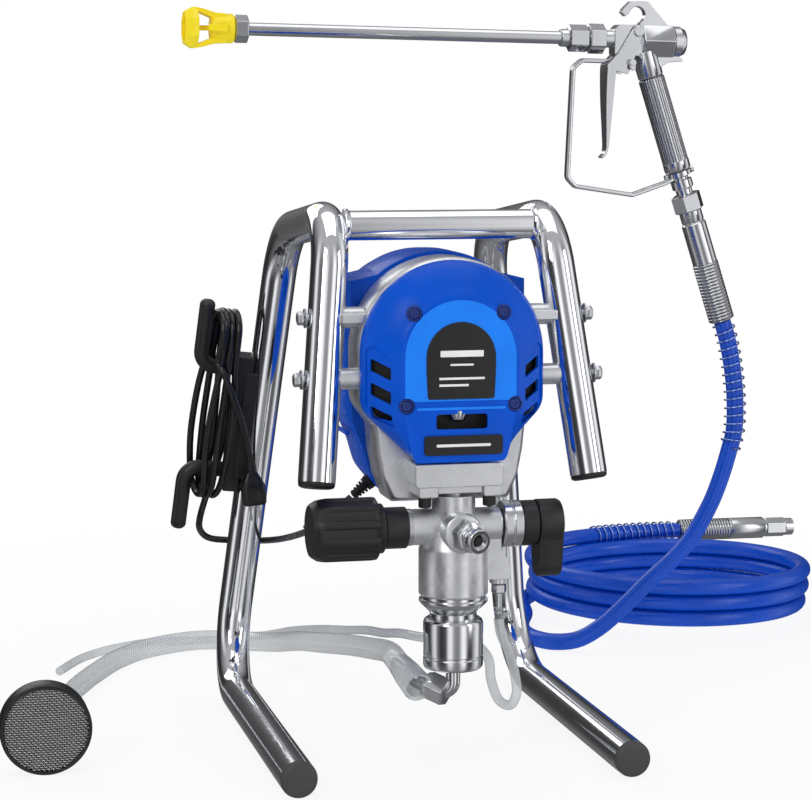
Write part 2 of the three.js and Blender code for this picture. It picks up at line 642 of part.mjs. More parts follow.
function makePressureControl() {
  const sensor = turned([[0, -14], [6, -14], [6, 0.4], [14, 0.4], [14, 1.5], [16.7, 1.5], [16.7, 20.2],
    [0, 20.2]], 16);
  part('pressure_sensor', aim(sensor, LEFTWARD, [-37.9, PUMP_Y, KNOB_Z]), BLACK);
  const ribs = Array.from({ length: 10 }, (_, i) =>
    new THREE.BoxGeometry(3.4, 3, 38).translate(24.6, 0, 33).rotateZ((i * 2 * Math.PI) / 10));
  const grip = turned([[0, 0], [20, 0], [20, 5], [25, 6], [25, 54], [21, 59.5], [0, 59.5]], 16);
  part('pressure_knob', aim(join(grip, ...ribs), LEFTWARD, [-58.5, PUMP_Y, KNOB_Z]), BLACK);
}

function makePrimeValve() {
  const seatX = 38.7;
  const body = join(rod(6, -14, 1, 12), rod(18.8, 0.4, 16, 16), rod(18.4, 15, 29, 16));
  part('prime_valve_body', aim(body, RIGHTWARD, [seatX, PUMP_Y, KNOB_Z]), CHROME);
  const dome = turned([[0, 0], [19, 0], [19, 18], [17.5, 20.5], [0, 20.5]], 16);
  const cap = aim(dome, RIGHTWARD, [0, 0, KNOB_Z]);
  const lever = join(box(0, 20, -11, 11, KNOB_Z - 33, KNOB_Z - 6),
    aim(rod(11, 0, 20, 12), RIGHTWARD, [0, 0, KNOB_Z - 33]));
  part('prime_handle', join(cap, lever).translate(seatX + 29.4, PUMP_Y, 0), BLACK);
  const barb = join(hexBar(11, -8, -0.5), rod(3, -28, -6, 10), rod(3.7, -26, -24, 10), rod(3, -2, 8, 10));
  part('drain_barb', barb.translate(38, PUMP_Y, 153.6), CHROME);
}

// ---------- gun (gun frame: X runs from the wand to the rear cap, Z up) ----------
const gripDir = [Math.sin(GRIP_LEAN), 0, -Math.cos(GRIP_LEAN)];
const onGrip = (geometry) => aim(geometry, gripDir, [GRIP_TOP[0], 0, GRIP_TOP[1]]);
const alongX = (geometry, z = 0) => aim(geometry, RIGHTWARD, [0, 0, z]);

function makeGunBody() {
  const front = plateXZ([[7.9, -15.5], [40, -15.5], [40, 14], [9, 14], [7.9, 12]], -9.5, 9.5);
  const barrel = alongX(hexBar(25.98, 38, 68), -1);
  const hook = plateXZ([[22.5, 36.8], [42, 36.8], [63.5, 13.5], [34, 12], [34, 17],
    ...arc(31.1, 23.5, 7.8, -55, 165, 8), [19.5, 21.5], [14.8, 26.5]], -4.5, 4.5);
  const outlet = join(alongX(hexBar(25, -16.6, -0.2)), alongX(rod(8.2, -1, 9, 12)));
  const neck = onGrip(rod(12.2, -26, -0.4, 14));
  const tail = plateXZ([[40, -12], [67, -12], [67, -17], [78.6, -17.4], [78, -19.4], [64, -20.6], [58.5, -24],
    [55, -32], [44, -32]], -4, 4);
  const body = join(front, barrel, hook, outlet, neck, tail);
  const bore = alongX(rod(3.4, -40, 80, 12));
  const pin = alongY(2.6, -30, 30, ...TRIGGER_PIVOT, 10);
  part('gun_body', cut(body, bore, pin), CHROME, gun);
}

function makeGunInside() {
  const needle = alongX(turned([[0, -14], [2.4, -8], [2.4, 64.5], [0, 64.5]], 12));
  part('needle', needle, STEEL, gun);
  const cap = alongX(turned([[0, 68.4], [14.6, 68.4], [14.6, 75], [12, 80], [0, 80]], 16), -1);
  part('gun_rear_cap', cap, CHROME, gun);
}

function makeGrip() {
  const grip = turned([[0, 0], [11.6, 0], [12.6, 1], [12.6, 84], [9.5, 91], [0, 91]], 16);
  part('gun_grip', onGrip(grip), CAST, gun);
  const swivel = join(rod(10, 91.4, 95, 12), rod(7.5, 94, 112, 12));
  part('gun_swivel', onGrip(swivel), CHROME, gun);
}

// The trigger narrows evenly from its shoulder to its toe.
function narrowed(geometry) {
  const spots = geometry.getAttribute('position');
  for (let n = 0; n < spots.count; n += 1) {
    const drop = Math.max(0, TRIGGER_SHOULDER_Z - spots.getZ(n)) / TRIGGER_LENGTH;
    spots.setY(n, spots.getY(n) * (1 - TRIGGER_NARROWING * drop));
  }
  return geometry;
}

function makeTrigger() {
  const cheek = [[8.6, -30], [21.5, -33], [25, -24], [35.2, 6], [34.5, 11.5], [28, 14.5], [24, 9],
    [12, -12], [0.8, -23.5], [4.2, -105], [6.4, -105], [9.6, -30]];
  const blade = plateXZ([[0.6, -24], [3, -24], [5.6, -107], [1, -112.6], [-1.6, -111.8], [2.8, -106]],
    -12.4, 12.4);
  const sides = [-12.4, 10.2].map((y) => plateXZ(cheek, y, y + 2.2));
  const pivot = alongY(2.2, -13.4, 13.4, ...TRIGGER_PIVOT, 10);
  part('trigger', narrowed(join(blade, ...sides, pivot)), CHROME, gun);
  const lever = plateXZ([[21.2, -19], [26.8, -19], [27, -28], [24.4, -30], [21.2, -27]], -18.4, -14.6);
  const lock = join(alongY(3, -18.6, -13, 24, -22, 12), lever);
  part('trigger_lock', lock, CHROME, gun);
}

function makeTriggerGuard() {
  const corners = [[9.2, -17.6], [6, -20.8], [-22, -20.8], [-30.2, -28], [-33, -132], [-25, -140],
    [32.6, -147.6], [64, -136]].map(([x, z]) => v3(x, 0, z));
  const path = rounded(corners, [0, 3, 6, 6, 6, 6, 5, 0], 3);
  const section = [[-4, -1.6], [4, -1.6], [4, 1.6], [-4, 1.6]];
  const strip = new THREE.Shape(section.map(([a, b]) => new THREE.Vector2(a, b)));
  part('trigger_guard', sweep(path, strip), CHROME, gun);
}

function makeWand() {
  const tubing = alongX(rod(6, -352, -42, 12));
  const hardware = join(tubing, alongX(rod(8.4, -43.6, -35.7, 12)), alongX(hexBar(22.5, -36, -17)));
  part('wand', hardware, CHROME, gun);
  const nut = join(alongX(hexBar(22.5, -355.8, -343)), alongX(rod(8.4, -344, -337.3, 12)));
  part('guard_nut', cut(nut, alongX(rod(6 + GAP, -370, -330, 12))), CAST, gun);
}

function makeTipGuard() {
  const hub = alongX(rod(13.5, -378, -356.2, 14));
  const wings = [-1, 1].map((up) =>
    plateXZ([[-396, 15 * up], [-394, 18.5 * up], [-374, 14 * up], [-364, 13.2 * up], [-364, 8 * up],
      [-377, 9 * up], [-389, 14 * up]], -9, 9));
  const flare = alongX(turned([[13, -402], [15.5, -402], [20.2, -395], [19, -390], [14, -390],
    [13, -402]], 8));
  const bore = alongX(rod(4, -420, -340, 12));
  const tipHole = alongY(6 + GAP, -30, 30, -368, 0, 14);
  part('tip_guard', cut(join(hub, flare, ...wings), bore, tipHole), YELLOW, gun);
  const tip = join(alongY(6, -15, 14, -368, 0, 14), box(-382, -364, -19, -14, -3, 3));
  part('spray_tip', tip, YELLOW, gun);
}

// ---------- hoses and cords ----------
function gunPoint(along, out = 0) {
  const p = v3(GRIP_TOP[0] + gripDir[0] * along, out, GRIP_TOP[1] + gripDir[2] * along);
  return p.applyEuler(new THREE.Euler(0, GUN_TILT, 0)).add(v3(...GUN_AT));
}

function makeHoseFittings() {
  const sleeve = join(hexBar(26, 113, 130), rod(11, 129, 146, 12), rod(12, 145, 188, 14),
    rod(12.5, 187, 246, 14));
  part('hose_gun_fitting', onGrip(cut(sleeve, rod(7.5 + GAP, 90, 116, 12))), CHROME, gun);
  const dir = v3(1, 0.03, -0.01).normalize();
  const end = join(rod(12, 0, 62, 14), rod(11, 61, 103, 12), rod(8, 102, 108, 12), hexBar(23, 107, 137));
  part('hose_end_fitting', aim(end, dir.toArray(), [446, 778.6, 59.4]), CHROME, cords);
}

const HOSE_RUN = [[365, 430, 327.6], [369.8, 430, 312.5], [376, 430, 283], [379.5, 430, 250.8],
  [379, 430, 219.2], [374, 430, 199.6], [367.2, 430, 176.9], [358.6, 431, 153.2], [347.9, 432, 131.6],
  [336, 433, 111.9], [318.3, 435, 92.3], [296.8, 438, 72.7], [272.6, 442, 48], [249, 447, 26], [228, 454, 13],
  [208, 465, 9.3], [195, 484, 9], [191, 510, 9], [196, 545, 9], [207, 580, 9], [217, 606, 9]];
const HOSE_TAIL = [[262, 716, 59], [300, 748, 59.5], [345, 768, 59.5], [395, 777, 59.5],
  [445.6, 778.5, 59.4]];
const SUCTION_RUN = [[-33, 79, 78], [-36, 100, 83], [-31, 150, 79], [-30, 230, 65.4], [-34, 300, 53.4],
  [-43, 370, 40.8], [-55.2, 430, 30.6], [-70, 490, 17.4], [-92, 532, 10.6], [-134, 548, 10.2],
  [-187, 524, 10.2], [-221, 484, 10.2], [-246, 436, 10.2], [-270, 380, 10.2], [-290, 320, 10.2],
  [-305, 260, 10.5], [-315, 210, 14], [-320, 172, 27], [-321.5, 152, 34]];
const RETURN_RUN = [[38, PUMP_Y, 124.4], [40, 54, 112], [46, 54, 98], [52, 55, 78], [55, 60, 60],
  [52, 70, 48], [46, 82, 50], [41, 88, 66], [40, 92, 82],
  [34, 100, 91], [20, 116, 95], [0, 140, 92], [-12, 190, 86],
  [-14, 250, 74], [-16, 310, 64], [-22, 370, 52], [-34, 430, 41], [-50, 490, 28], [-72, 548, 12],
  [-134, 573, 4.7], [-178, 575, 4.7], [-210.5, 560, 4.7], [-232.3, 543, 4.7], [-254.6, 516, 4.7],
  [-280, 466, 4.7]];
const CORD_RUN = [[-67.8, 130, 215.7], [-72.4, 130, 211.8], [-78, 137, 204], [-81, 170, 190], [-85, 220, 174],
  [-91, 280, 158], [-98, 335, 146], [-110, 376, 139], [-130, 386, 138.5], [-148, 380, 142], [-159, 364, 152],
  [-162, 348, 166], [-161, 341, 176]];

function makeCords() {
  part('paint_hose_run', tube(smoothRoute(HOSE_RUN, 36), HOSE_D / 2, 0, 10), BLUE_HOSE, cords);
  const [inner, outer, top] = [COIL.r - HOSE_D / 2, COIL.r + HOSE_D / 2, COIL.turns * HOSE_D];
  part('paint_hose_coil', pipe(outer, inner, 0, top, 36).translate(COIL.x, COIL.y, 0), BLUE_HOSE, cords);
  part('paint_hose_tail', tube(smoothRoute(HOSE_TAIL, 36), HOSE_D / 2, 0, 10), BLUE_HOSE, cords);
  part('suction_tube', tube(smoothRoute(SUCTION_RUN, 45), SUCTION_D / 2, 0, 10), CLEAR, cords);
  part('return_tube', tube(smoothRoute(RETURN_RUN, 26), RETURN_D / 2, 0, 8), SMOKE, cords);
  part('power_cord_lead', tube(smoothRoute(CORD_RUN, 16), CORD_D / 2, 0, 8), BLACK, cords);
}

function makeStrainer() {
  const cup = turned([[0, -2], [34, -2], [34, 0], [37.2, 0], [37.2, -24], [30, -28], [11, -28], [11, -36],
    [0, -36]], 24);
  part('strainer', aim(cup, FORWARD, [-322, 113, 37.2]), BLACK, cords);
}

function makePlug() {
  const body = join(
    turned([[0, 0], [9, 0], [11, 4], [10, 24], [7, 27], [4.4, 29], [3.4, 40], [0, 40]], 12),
    box(-4.5, -3, -3, 3, -15, 1), box(3, 4.5, -3, 3, -15, 1));
  part('power_plug', aim(body, [-0.1, -0.1, 1], [-118.5, 308, 184]), BLACK, cords);
}

for (const [side, label] of [[-1, 'left'], [1, 'right']]) {
  makeSideFrame(side, label);
  makeFrameCaps(side, label);
  makeLegBolts(side, label);
}
makeCrossbar();
makeCordBracket();
makeGearHousing();
makeFrontCover();
makeGearTrain();
makePistonYoke();
makeShroud();
makeMotor();
makePowerFittings();
makePumpBody();
makePumpPacking();
makeOutlet();
makeSuctionEnd();
makeElbow();
makePressureControl();
makePrimeValve();
makeGunBody();
makeGunInside();
makeGrip();
makeTrigger();
makeTriggerGuard();
makeWand();
makeTipGuard();
makeHoseFittings();
makeCordHank();
makeCords();
makeStrainer();
makePlug();

// ---------- final frame ----------
machine.updateMatrixWorld(true);
const CORD_PIECES = ['hose_gun_fitting', ...cords.children.map((mesh) => mesh.name)];
const bounds = new THREE.Box3();
machine.traverse((mesh) => {
  if (mesh.isMesh && !CORD_PIECES.includes(mesh.name)) bounds.expandByObject(mesh, true);
});
const centre = bounds.getCenter(v3(0, 0, 0));
machine.position.set(-centre.x, -centre.y, -bounds.min.z);
machine.updateMatrixWorld(true);
const sprayer = new THREE.Group();
sprayer.add(machine);

export default sprayer;
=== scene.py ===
"""Airless paint sprayer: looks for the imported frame.

Lengths are millimetres in the part's working frame (X right, Y back, Z up, floor at Z = 0, front
foot ends at Y = 0, the stand's middle at X = 0). WORK turns them into the row frame, in metres.
"""
from math import cos, pi, radians, sin, sqrt, tan

import bmesh
import bpy
from mathutils import Matrix, Vector


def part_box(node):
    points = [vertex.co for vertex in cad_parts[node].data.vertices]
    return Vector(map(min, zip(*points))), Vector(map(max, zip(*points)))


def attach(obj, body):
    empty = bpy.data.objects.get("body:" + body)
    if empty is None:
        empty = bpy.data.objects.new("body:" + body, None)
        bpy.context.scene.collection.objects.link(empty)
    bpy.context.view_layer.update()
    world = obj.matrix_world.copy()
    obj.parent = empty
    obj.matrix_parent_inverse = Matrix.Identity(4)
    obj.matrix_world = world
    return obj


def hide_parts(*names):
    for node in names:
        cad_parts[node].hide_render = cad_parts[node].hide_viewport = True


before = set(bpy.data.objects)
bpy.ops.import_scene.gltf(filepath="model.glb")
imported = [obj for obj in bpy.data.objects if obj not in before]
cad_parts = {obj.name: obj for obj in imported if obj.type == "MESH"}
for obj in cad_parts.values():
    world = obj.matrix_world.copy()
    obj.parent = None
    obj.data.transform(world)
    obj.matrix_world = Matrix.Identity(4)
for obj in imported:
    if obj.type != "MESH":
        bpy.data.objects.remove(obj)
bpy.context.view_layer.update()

# ---------------------------------------------------------------- driving dimensions
TUBE_R = 15
SPLAY = 0.107
TOP_Z = 448.2
TOP_HALF_WIDTH = 89.9
FOOT_END = (0, TUBE_R)
REAR_BOTTOM = (366.7, TUBE_R)
REAR_TOP = (294, 427.8)
FRONT_TOP = (95.7, TOP_Z)
LEG_END = (51.1, 240.7)
BEND_RADII = (0, 62, 58, 46, 0)
CROSSBAR_Y, CROSSBAR_Z, CROSSBAR_R = 100, 441, 12
BOLT_HEIGHTS = (369, 321)
CAP_LENGTH = 4

PUMP_Y = 54
KNOB_Z = 202
COVER_BACK, COVER_R, COVER_CENTRE = 62, 75, 340
COVER_CHIN, COVER_CHIN_HALF, COVER_CHAMFER = 256, 36, 297
CASE_BACK = 105
GLAND_AT = (-51.5, 130, 229.5)
GLAND_AXIS = (-0.763, 0, -0.646)

GUN_AT = (241.8, 430, 599.4)
GUN_TILT = radians(1.17)
GRIP_TOP = (48.2, 0, -35.5)
GRIP_LEAN = radians(19)
TRIGGER_PIVOT = (30.7, 7.4)

HOSE_D = 16.5
COIL_X, COIL_Y, COIL_R, COIL_TURNS = 378, 625, 141, 3
SUCTION_D = 19
RETURN_D = 8
CORD_D = 6
HANK_Z, HANK_HALF, HANK_TURN_R = 269, 88, 18.6
HANK_LAYERS = (32.4, 37.8, 43.2, 48.4)

TRIGGER_SHOULDER_Z, TRIGGER_LENGTH, TRIGGER_NARROWING = -28, 84, 0.5
BRACKET_Z = 254
MESH_R, WIRE_PITCH, RIM_RIBS = 34.2, 1.9, 36
KNOB_LOBES, KNOB_SPOTS = 10, 120
HOSE_FLOOR_Z, HOSE_TOP_Z = 9, 59.3

FLOOR_REACH, FLOOR_DEPTH = 9000, 4
LENS, SENSOR = 110.52, 36
CAMERA_AT = (-483.66, -1858.15, 537.54)
CAMERA_PITCH, CAMERA_YAW = -6.77, -13.08

# ---------------------------------------------------------------- frames
left_low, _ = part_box("side_frame_left")
_, right_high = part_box("side_frame_right")
foot_low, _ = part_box("foot_cap_left")
ORIGIN = Vector(((left_low.x + right_high.x) / 2, foot_low.y, 0))
MM = 0.001
IDENTITY = Matrix.Identity(4)
WORK = Matrix.Translation(ORIGIN) @ Matrix.Scale(MM, 4)
GUN = WORK @ Matrix.Translation(GUN_AT) @ Matrix.Rotation(GUN_TILT, 4, "Y")
PUMP = Matrix.Translation((0, PUMP_Y, 0))
RIGHT, LEFT, FRONT, BACK = (1, 0, 0), (-1, 0, 0), (0, -1, 0), (0, 1, 0)


def aim(direction, at=(0, 0, 0)):
    """A matrix that turns +Z to a direction and then moves."""
    turn = Vector((0, 0, 1)).rotation_difference(Vector(direction).normalized())
    return Matrix.Translation(at) @ turn.to_matrix().to_4x4()


GRIP_DIR = (sin(GRIP_LEAN), 0, -cos(GRIP_LEAN))
GRIP = aim(GRIP_DIR, GRIP_TOP)
ALONG_X = aim(RIGHT)


# ---------------------------------------------------------------- outlines and paths
def arc(cx, cy, r, start, end, count):
    """Points on an arc, from one angle to another in degrees."""
    return [
        (cx + r * cos(radians(start + (end - start) * i / count)),
         cy + r * sin(radians(start + (end - start) * i / count)))
        for i in range(count + 1)
    ]


def corner_curve(before, here, after, back, count):
    """A corner replaced by a curve, from a given way before it to the same way after it."""
    start = here + (before - here).normalized() * back
    end = here + (after - here).normalized() * back
    steps = [k / count for k in range(count + 1)]
    return [tuple(start * (1 - t) ** 2 + here * 2 * t * (1 - t) + end * t * t) for t in steps]


def room(before, here, after, share):
    """The most that a corner may use up of the two sides that meet in it."""
    return min((before - here).length * share, (after - here).length * share)


def soft_outline(points, radius, count=6):
    """A closed 2-D outline with each corner rounded."""
    rounded = []
    corners = [Vector(p) for p in points]
    for before, here, after in zip(corners[-1:] + corners, corners, corners[1:] + corners[:1]):
        half = (before - here).angle(after - here) / 2
        back = min(radius / tan(half), room(before, here, after, 0.49))
        rounded += corner_curve(before, here, after, back, count)
    return rounded


def rounded_path(corners, radii, per_bend=20):
    """Corner points joined by straight runs, each corner rounded to its radius."""
    corners = [Vector(c) for c in corners]
    points = [corners[0]]
    for i in range(1, len(corners) - 1):
        into = (corners[i] - corners[i - 1]).normalized()
        out = (corners[i + 1] - corners[i]).normalized()
        turn = into.angle(out)
        start = corners[i] - into * radii[i] * tan(turn / 2)
        side = (out - into * out.dot(into)).normalized()
        for k in range(per_bend + 1):
            a = turn * k / per_bend
            points.append(start + into * radii[i] * sin(a) + side * radii[i] * (1 - cos(a)))
    points.append(corners[-1])
    return points


def smooth_route(points, step):
    """A centripetal curve through given points, sampled at an even step."""
    points = [Vector(p) for p in points]
    padded = [points[0] * 2 - points[1]] + points + [points[-1] * 2 - points[-2]]
    dense = []
    for i in range(1, len(padded) - 2):
        p0, p1, p2, p3 = padded[i - 1:i + 3]
        t1 = sqrt((p1 - p0).length)
        t2 = t1 + sqrt((p2 - p1).length)
        t3 = t2 + sqrt((p3 - p2).length)
        for k in range(24):
            t = t1 + (t2 - t1) * k / 24
            a1 = p0.lerp(p1, t / t1)
            a2 = p1.lerp(p2, (t - t1) / (t2 - t1))
            a3 = p2.lerp(p3, (t - t2) / (t3 - t2))
            b1 = a1.lerp(a2, t / t2)
            b2 = a2.lerp(a3, (t - t1) / (t3 - t1))
            dense.append(b1.lerp(b2, (t - t1) / (t2 - t1)))
    dense.append(points[-1])
    return even(dense, step)


def even(points, step):
    """The same line, with its points an even step apart."""
    lengths = [0]
    for a, b in zip(points, points[1:]):
        lengths.append(lengths[-1] + (b - a).length)
    count = max(2, round(lengths[-1] / step))
    result, k = [], 0
    for i in range(count + 1):
        want = lengths[-1] * i / count
        while k < len(points) - 2 and lengths[k + 1] < want:
            k += 1
        span = lengths[k + 1] - lengths[k] or 1
        result.append(points[k].lerp(points[k + 1], (want - lengths[k]) / span))
    return result


def path_length(points):
    return sum((b - a).length for a, b in zip(points, points[1:]))


def circle(r, sides):
    return [(r * cos(2 * pi * i / sides), r * sin(2 * pi * i / sides)) for i in range(sides)]


# ---------------------------------------------------------------- mesh building
class Shape:
    """A mesh in the making, in millimetres. Its UV is (turn around, length in centimetres)."""

    def __init__(self):
        self.bm = bmesh.new()
        self.uv = self.bm.loops.layers.uv.new("route")

    def _rings(self, rings, around, lengths, close_u, cap):
        """Faces between rings of vertices; a ring of one vertex is a pole."""
        count = max(len(r) for r in rings)
        for k in range(len(rings) - 1):
            a, b = rings[k], rings[k + 1]
            for i in range(count if close_u else count - 1):
                j = (i + 1) % count
                corners = [(a, i, k), (a, j, k), (b, j, k + 1), (b, i, k + 1)]
                verts, spots = [], []
                for ring, at, row in corners:
                    vert = ring[at % len(ring)]
                    if vert in verts:
                        continue
                    verts.append(vert)
                    turn = around[at] if not (at == 0 and i == count - 1) else 1.0
                    spots.append((turn, lengths[row]))
                if len(verts) < 3:
                    continue
                face = self.bm.faces.new(verts)
                for loop, spot in zip(face.loops, spots):
                    loop[self.uv].uv = spot
        if cap:
            for ring in (rings[0], rings[-1]):
                if len(ring) > 2:
                    self.bm.faces.new(ring)

    def turned(self, profile, sides=56, m=IDENTITY, loop=False):
        """Turns [radius, height] pairs about +Z."""
        rings, lengths, run = [], [], 0
        profile = list(profile) + ([profile[0]] if loop else [])
        for n, (r, z) in enumerate(profile):
            if n:
                run += sqrt((r - profile[n - 1][0]) ** 2 + (z - profile[n - 1][1]) ** 2)
            lengths.append(run * 0.1)
            if loop and n == len(profile) - 1:
                rings.append(rings[0])
            elif r < 1e-6:
                rings.append([self.bm.verts.new(m @ Vector((0, 0, z)))])
            else:
                rings.append([self.bm.verts.new(m @ Vector((x, y, z))) for x, y in circle(r, sides)])
        around = [i / sides for i in range(sides)]
        self._rings(rings, around, lengths, True, False)
        return self

    def rod(self, r, low, high, sides=56, m=IDENTITY):
        return self.turned([(0, low), (r, low), (r, high), (0, high)], sides, m)

    def pipe(self, r, bore, low, high, sides=56, m=IDENTITY):
        return self.turned([(bore, low), (r, low), (r, high), (bore, high)], sides, m, loop=True)

    def hexagon(self, flats, low, high, m=IDENTITY):
        """A hexagonal nut: its corners are turned off at both ends, as on a real one."""
        r = flats / sqrt(3)
        spots = [(r * cos(radians(60 * i)), r * sin(radians(60 * i))) for i in range(6)]
        nip = flats / 2 / r
        trim = min(1.0, (high - low) / 5)
        levels = [(low, nip), (low + trim, 1), (high - trim, 1), (high, nip)]
        rings = [[self.bm.verts.new(m @ Vector((x * s, y * s, z))) for x, y in spots] for z, s in levels]
        lengths = [z * 0.1 for z, _ in levels]
        self._rings(rings, [i / 6 for i in range(6)], lengths, True, True)
        return self

    def loft(self, rings, m=IDENTITY, cap=True):
        """Skins rings of 3-D points that have equal counts."""
        count = len(rings[0])
        made = [[self.bm.verts.new(m @ Vector(p)) for p in ring] for ring in rings]
        lengths, run = [0], 0
        for a, b in zip(rings, rings[1:]):
            run += (Vector(b[0]) - Vector(a[0])).length
            lengths.append(run * 0.1)
        self._rings(made, [i / count for i in range(count)], lengths, True, cap)
        return self

    def plate(self, outline, y0, y1, m=IDENTITY):
        """Extrudes an [x, z] outline along Y."""
        return self.loft([[(x, y0, z) for x, z in outline], [(x, y1, z) for x, z in outline]], m)

    def slab(self, outline, z0, z1, m=IDENTITY):
        """Extrudes an [x, y] outline along Z."""
        return self.loft([[(x, y, z0) for x, y in outline], [(x, y, z1) for x, y in outline]], m)

    def box(self, x0, x1, y0, y1, z0, z1, m=IDENTITY):
        return self.slab([(x0, y0), (x1, y0), (x1, y1), (x0, y1)], z0, z1, m)

    def swept(self, points, section, m=IDENTITY, up=None, cap=True):
        """Carries a 2-D section along a line without twisting it."""
        points = [Vector(p) for p in points]
        tangents = []
        for i, p in enumerate(points):
            ahead = points[min(i + 1, len(points) - 1)] - points[max(i - 1, 0)]
            tangents.append(ahead.normalized())
        side = Vector(up) if up else tangents[0].orthogonal()
        rings = []
        for p, t in zip(points, tangents):
            side = (side - t * side.dot(t)).normalized()
            other = t.cross(side)
            rings.append([p + side * x + other * y for x, y in section])
        return self.loft(rings, m, cap)

    def mesh(self, name, at):
        bmesh.ops.recalc_face_normals(self.bm, faces=self.bm.faces)
        self.bm.transform(at)
        mesh = bpy.data.meshes.new(name)
        self.bm.to_mesh(mesh)
        self.bm.free()
        return mesh


def piece(name, shape, finish, body="machine", at=WORK, replaces=(), bevel=0.5, angle=35, parts=2):
    """Makes an object from a shape, gives it its finish, and rides it on a body."""
    mesh = shape.mesh(name, at)
    obj = bpy.data.objects.new(name, mesh)
    bpy.context.scene.collection.objects.link(obj)
    obj.data.materials.append(finish)
    mesh.shade_smooth()
    mesh.set_sharp_from_angle(angle=radians(angle))
    if bevel:
        round_off = obj.modifiers.new("edges", "BEVEL")
        round_off.width = bevel * MM
        round_off.segments = parts
        round_off.limit_method = "ANGLE"
        round_off.angle_limit = radians(angle)
        round_off.harden_normals = True
        round_off.use_clamp_overlap = True
    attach(obj, body)
    if replaces:
        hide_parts(*([replaces] if isinstance(replaces, str) else replaces))
    return obj


def subtract(obj, *tools):
    """Cuts shapes, given in the object's working frame, out of an object."""
    for n, (shape, at) in enumerate(tools):
        tool = bpy.data.objects.new(f"{obj.name}_tool", shape.mesh("tool", at))
        bpy.context.scene.collection.objects.link(tool)
        step = obj.modifiers.new(f"cut_{n}", "BOOLEAN")
        step.object = tool
        step.operation = "DIFFERENCE"
        step.solver = "EXACT"
        obj.modifiers.move(len(obj.modifiers) - 1, 0)
        graph = bpy.context.evaluated_depsgraph_get()
        held = [mod for mod in obj.modifiers if mod.type == "BEVEL"]
        for mod in held:
            mod.show_viewport = False
        graph.update()
        mesh = bpy.data.meshes.new_from_object(obj.evaluated_get(graph))
        obj.modifiers.remove(step)
        obj.data = mesh
        for mod in held:
            mod.show_viewport = True
        bpy.data.objects.remove(tool)
    obj.data.shade_smooth()
    obj.data.set_sharp_from_angle(angle=radians(32))
    return obj


# ---------------------------------------------------------------- materials
def add_node(tree, kind, inputs=None, **settings):
    """Adds a shader node. An input takes a plain value or another node's output."""
    made = tree.nodes.new(kind)
    for key, value in settings.items():
        setattr(made, key, value)
    for key, value in (inputs or {}).items():
        if isinstance(value, bpy.types.NodeSocket):
            tree.links.new(value, made.inputs[key])
        else:
            made.inputs[key].default_value = value
    return made


def span_node(tree, value, low, high, out_low=0.0, out_high=1.0, **settings):
    """Carries a value from one range to another and holds it there."""
    ends = {"From Min": low, "From Max": high, "To Min": out_low, "To Max": out_high}
    return add_node(tree, "ShaderNodeMapRange", {"Value": value, **ends}, **settings).outputs[0]


def mix_colors(tree, fac, a, b):
    a, b = ((*c, 1) if isinstance(c, tuple) else c for c in (a, b))
    return add_node(tree, "ShaderNodeMix", {0: fac, 6: a, 7: b}, data_type="RGBA").outputs[2]


def mix_shaders(tree, fac, a, b):
    return add_node(tree, "ShaderNodeMixShader", {0: fac, 1: a, 2: b}).outputs[0]


class Finish:
    """A procedural material built round one Principled shader."""

    def __init__(self, name, slot, color, metallic=0.0, rough=0.4, **sockets):
        self.material = bpy.data.materials.new(name)
        self.material.use_nodes = True
        self.tree = self.material.node_tree
        self.shader = self.tree.nodes["Principled BSDF"]
        self.shader.inputs["Base Color"].default_value = (*color, 1)
        self.shader.inputs["Metallic"].default_value = metallic
        self.shader.inputs["Roughness"].default_value = rough
        for socket, value in sockets.items():
            self.shader.inputs[socket.replace("_", " ")].default_value = value
        self.color = color
        self.rough = rough
        self.coords = self.tree.nodes.new("ShaderNodeTexCoord").outputs["Object"]

    def node(self, kind, inputs=None, **settings):
        return add_node(self.tree, kind, inputs, **settings)

    def math(self, operation, a, b=0.0):
        return self.node("ShaderNodeMath", {0: a, 1: b}, operation=operation).outputs[0]

    def noise(self, scale, detail=3.0, rough=0.6, stretch=None):
        at = self.coords
        if stretch:
            at = self.node("ShaderNodeMapping", {"Vector": at, "Scale": stretch}).outputs[0]
        made = self.node("ShaderNodeTexNoise", {"Vector": at, "Scale": scale, "Detail": detail,
                                                "Roughness": rough})
        return made.outputs["Fac"]

    def span(self, value, low, high, out_low, out_high):
        return span_node(self.tree, value, low, high, out_low, out_high)

    def mix(self, fac, a, b):
        return mix_colors(self.tree, fac, a, b)

    def paint(self, socket, value):
        self.tree.links.new(value, self.shader.inputs[socket])
        return self

    def vary(self, scale=30, color_by=0.06, rough_by=0.06, detail=4.0):
        """Slow drift of colour and gloss over the surface."""
        drift = self.noise(scale, detail)
        dark = tuple(c * (1 - color_by) for c in self.color)
        light = tuple(min(1, c * (1 + color_by)) for c in self.color)
        self.paint("Base Color", self.mix(self.span(drift, 0.3, 0.7, 0, 1), dark, light))
        low, high = max(0.02, self.rough - rough_by), self.rough + rough_by
        return self.paint("Roughness", self.span(self.noise(scale * 2.7, detail), 0.3, 0.7, low, high))

    def bump(self, height, strength=0.2, distance=0.0004):
        made = self.node("ShaderNodeBump", {"Strength": strength, "Distance": distance, "Height": height})
        return self.paint("Normal", made.outputs[0])

    def route_uv(self):
        """(turn around the piece, length along it in centimetres)."""
        uv = self.node("ShaderNodeUVMap", uv_map="route").outputs[0]
        split = self.node("ShaderNodeSeparateXYZ", {0: uv})
        return split.outputs[0], split.outputs[1]


def chrome(name, slot, tint, rough):
    made = Finish(name, slot, tint, 1.0, rough)
    made.vary(22, 0.04, 0.03)
    return made.bump(made.noise(900, 2), 0.03, 0.0002).material


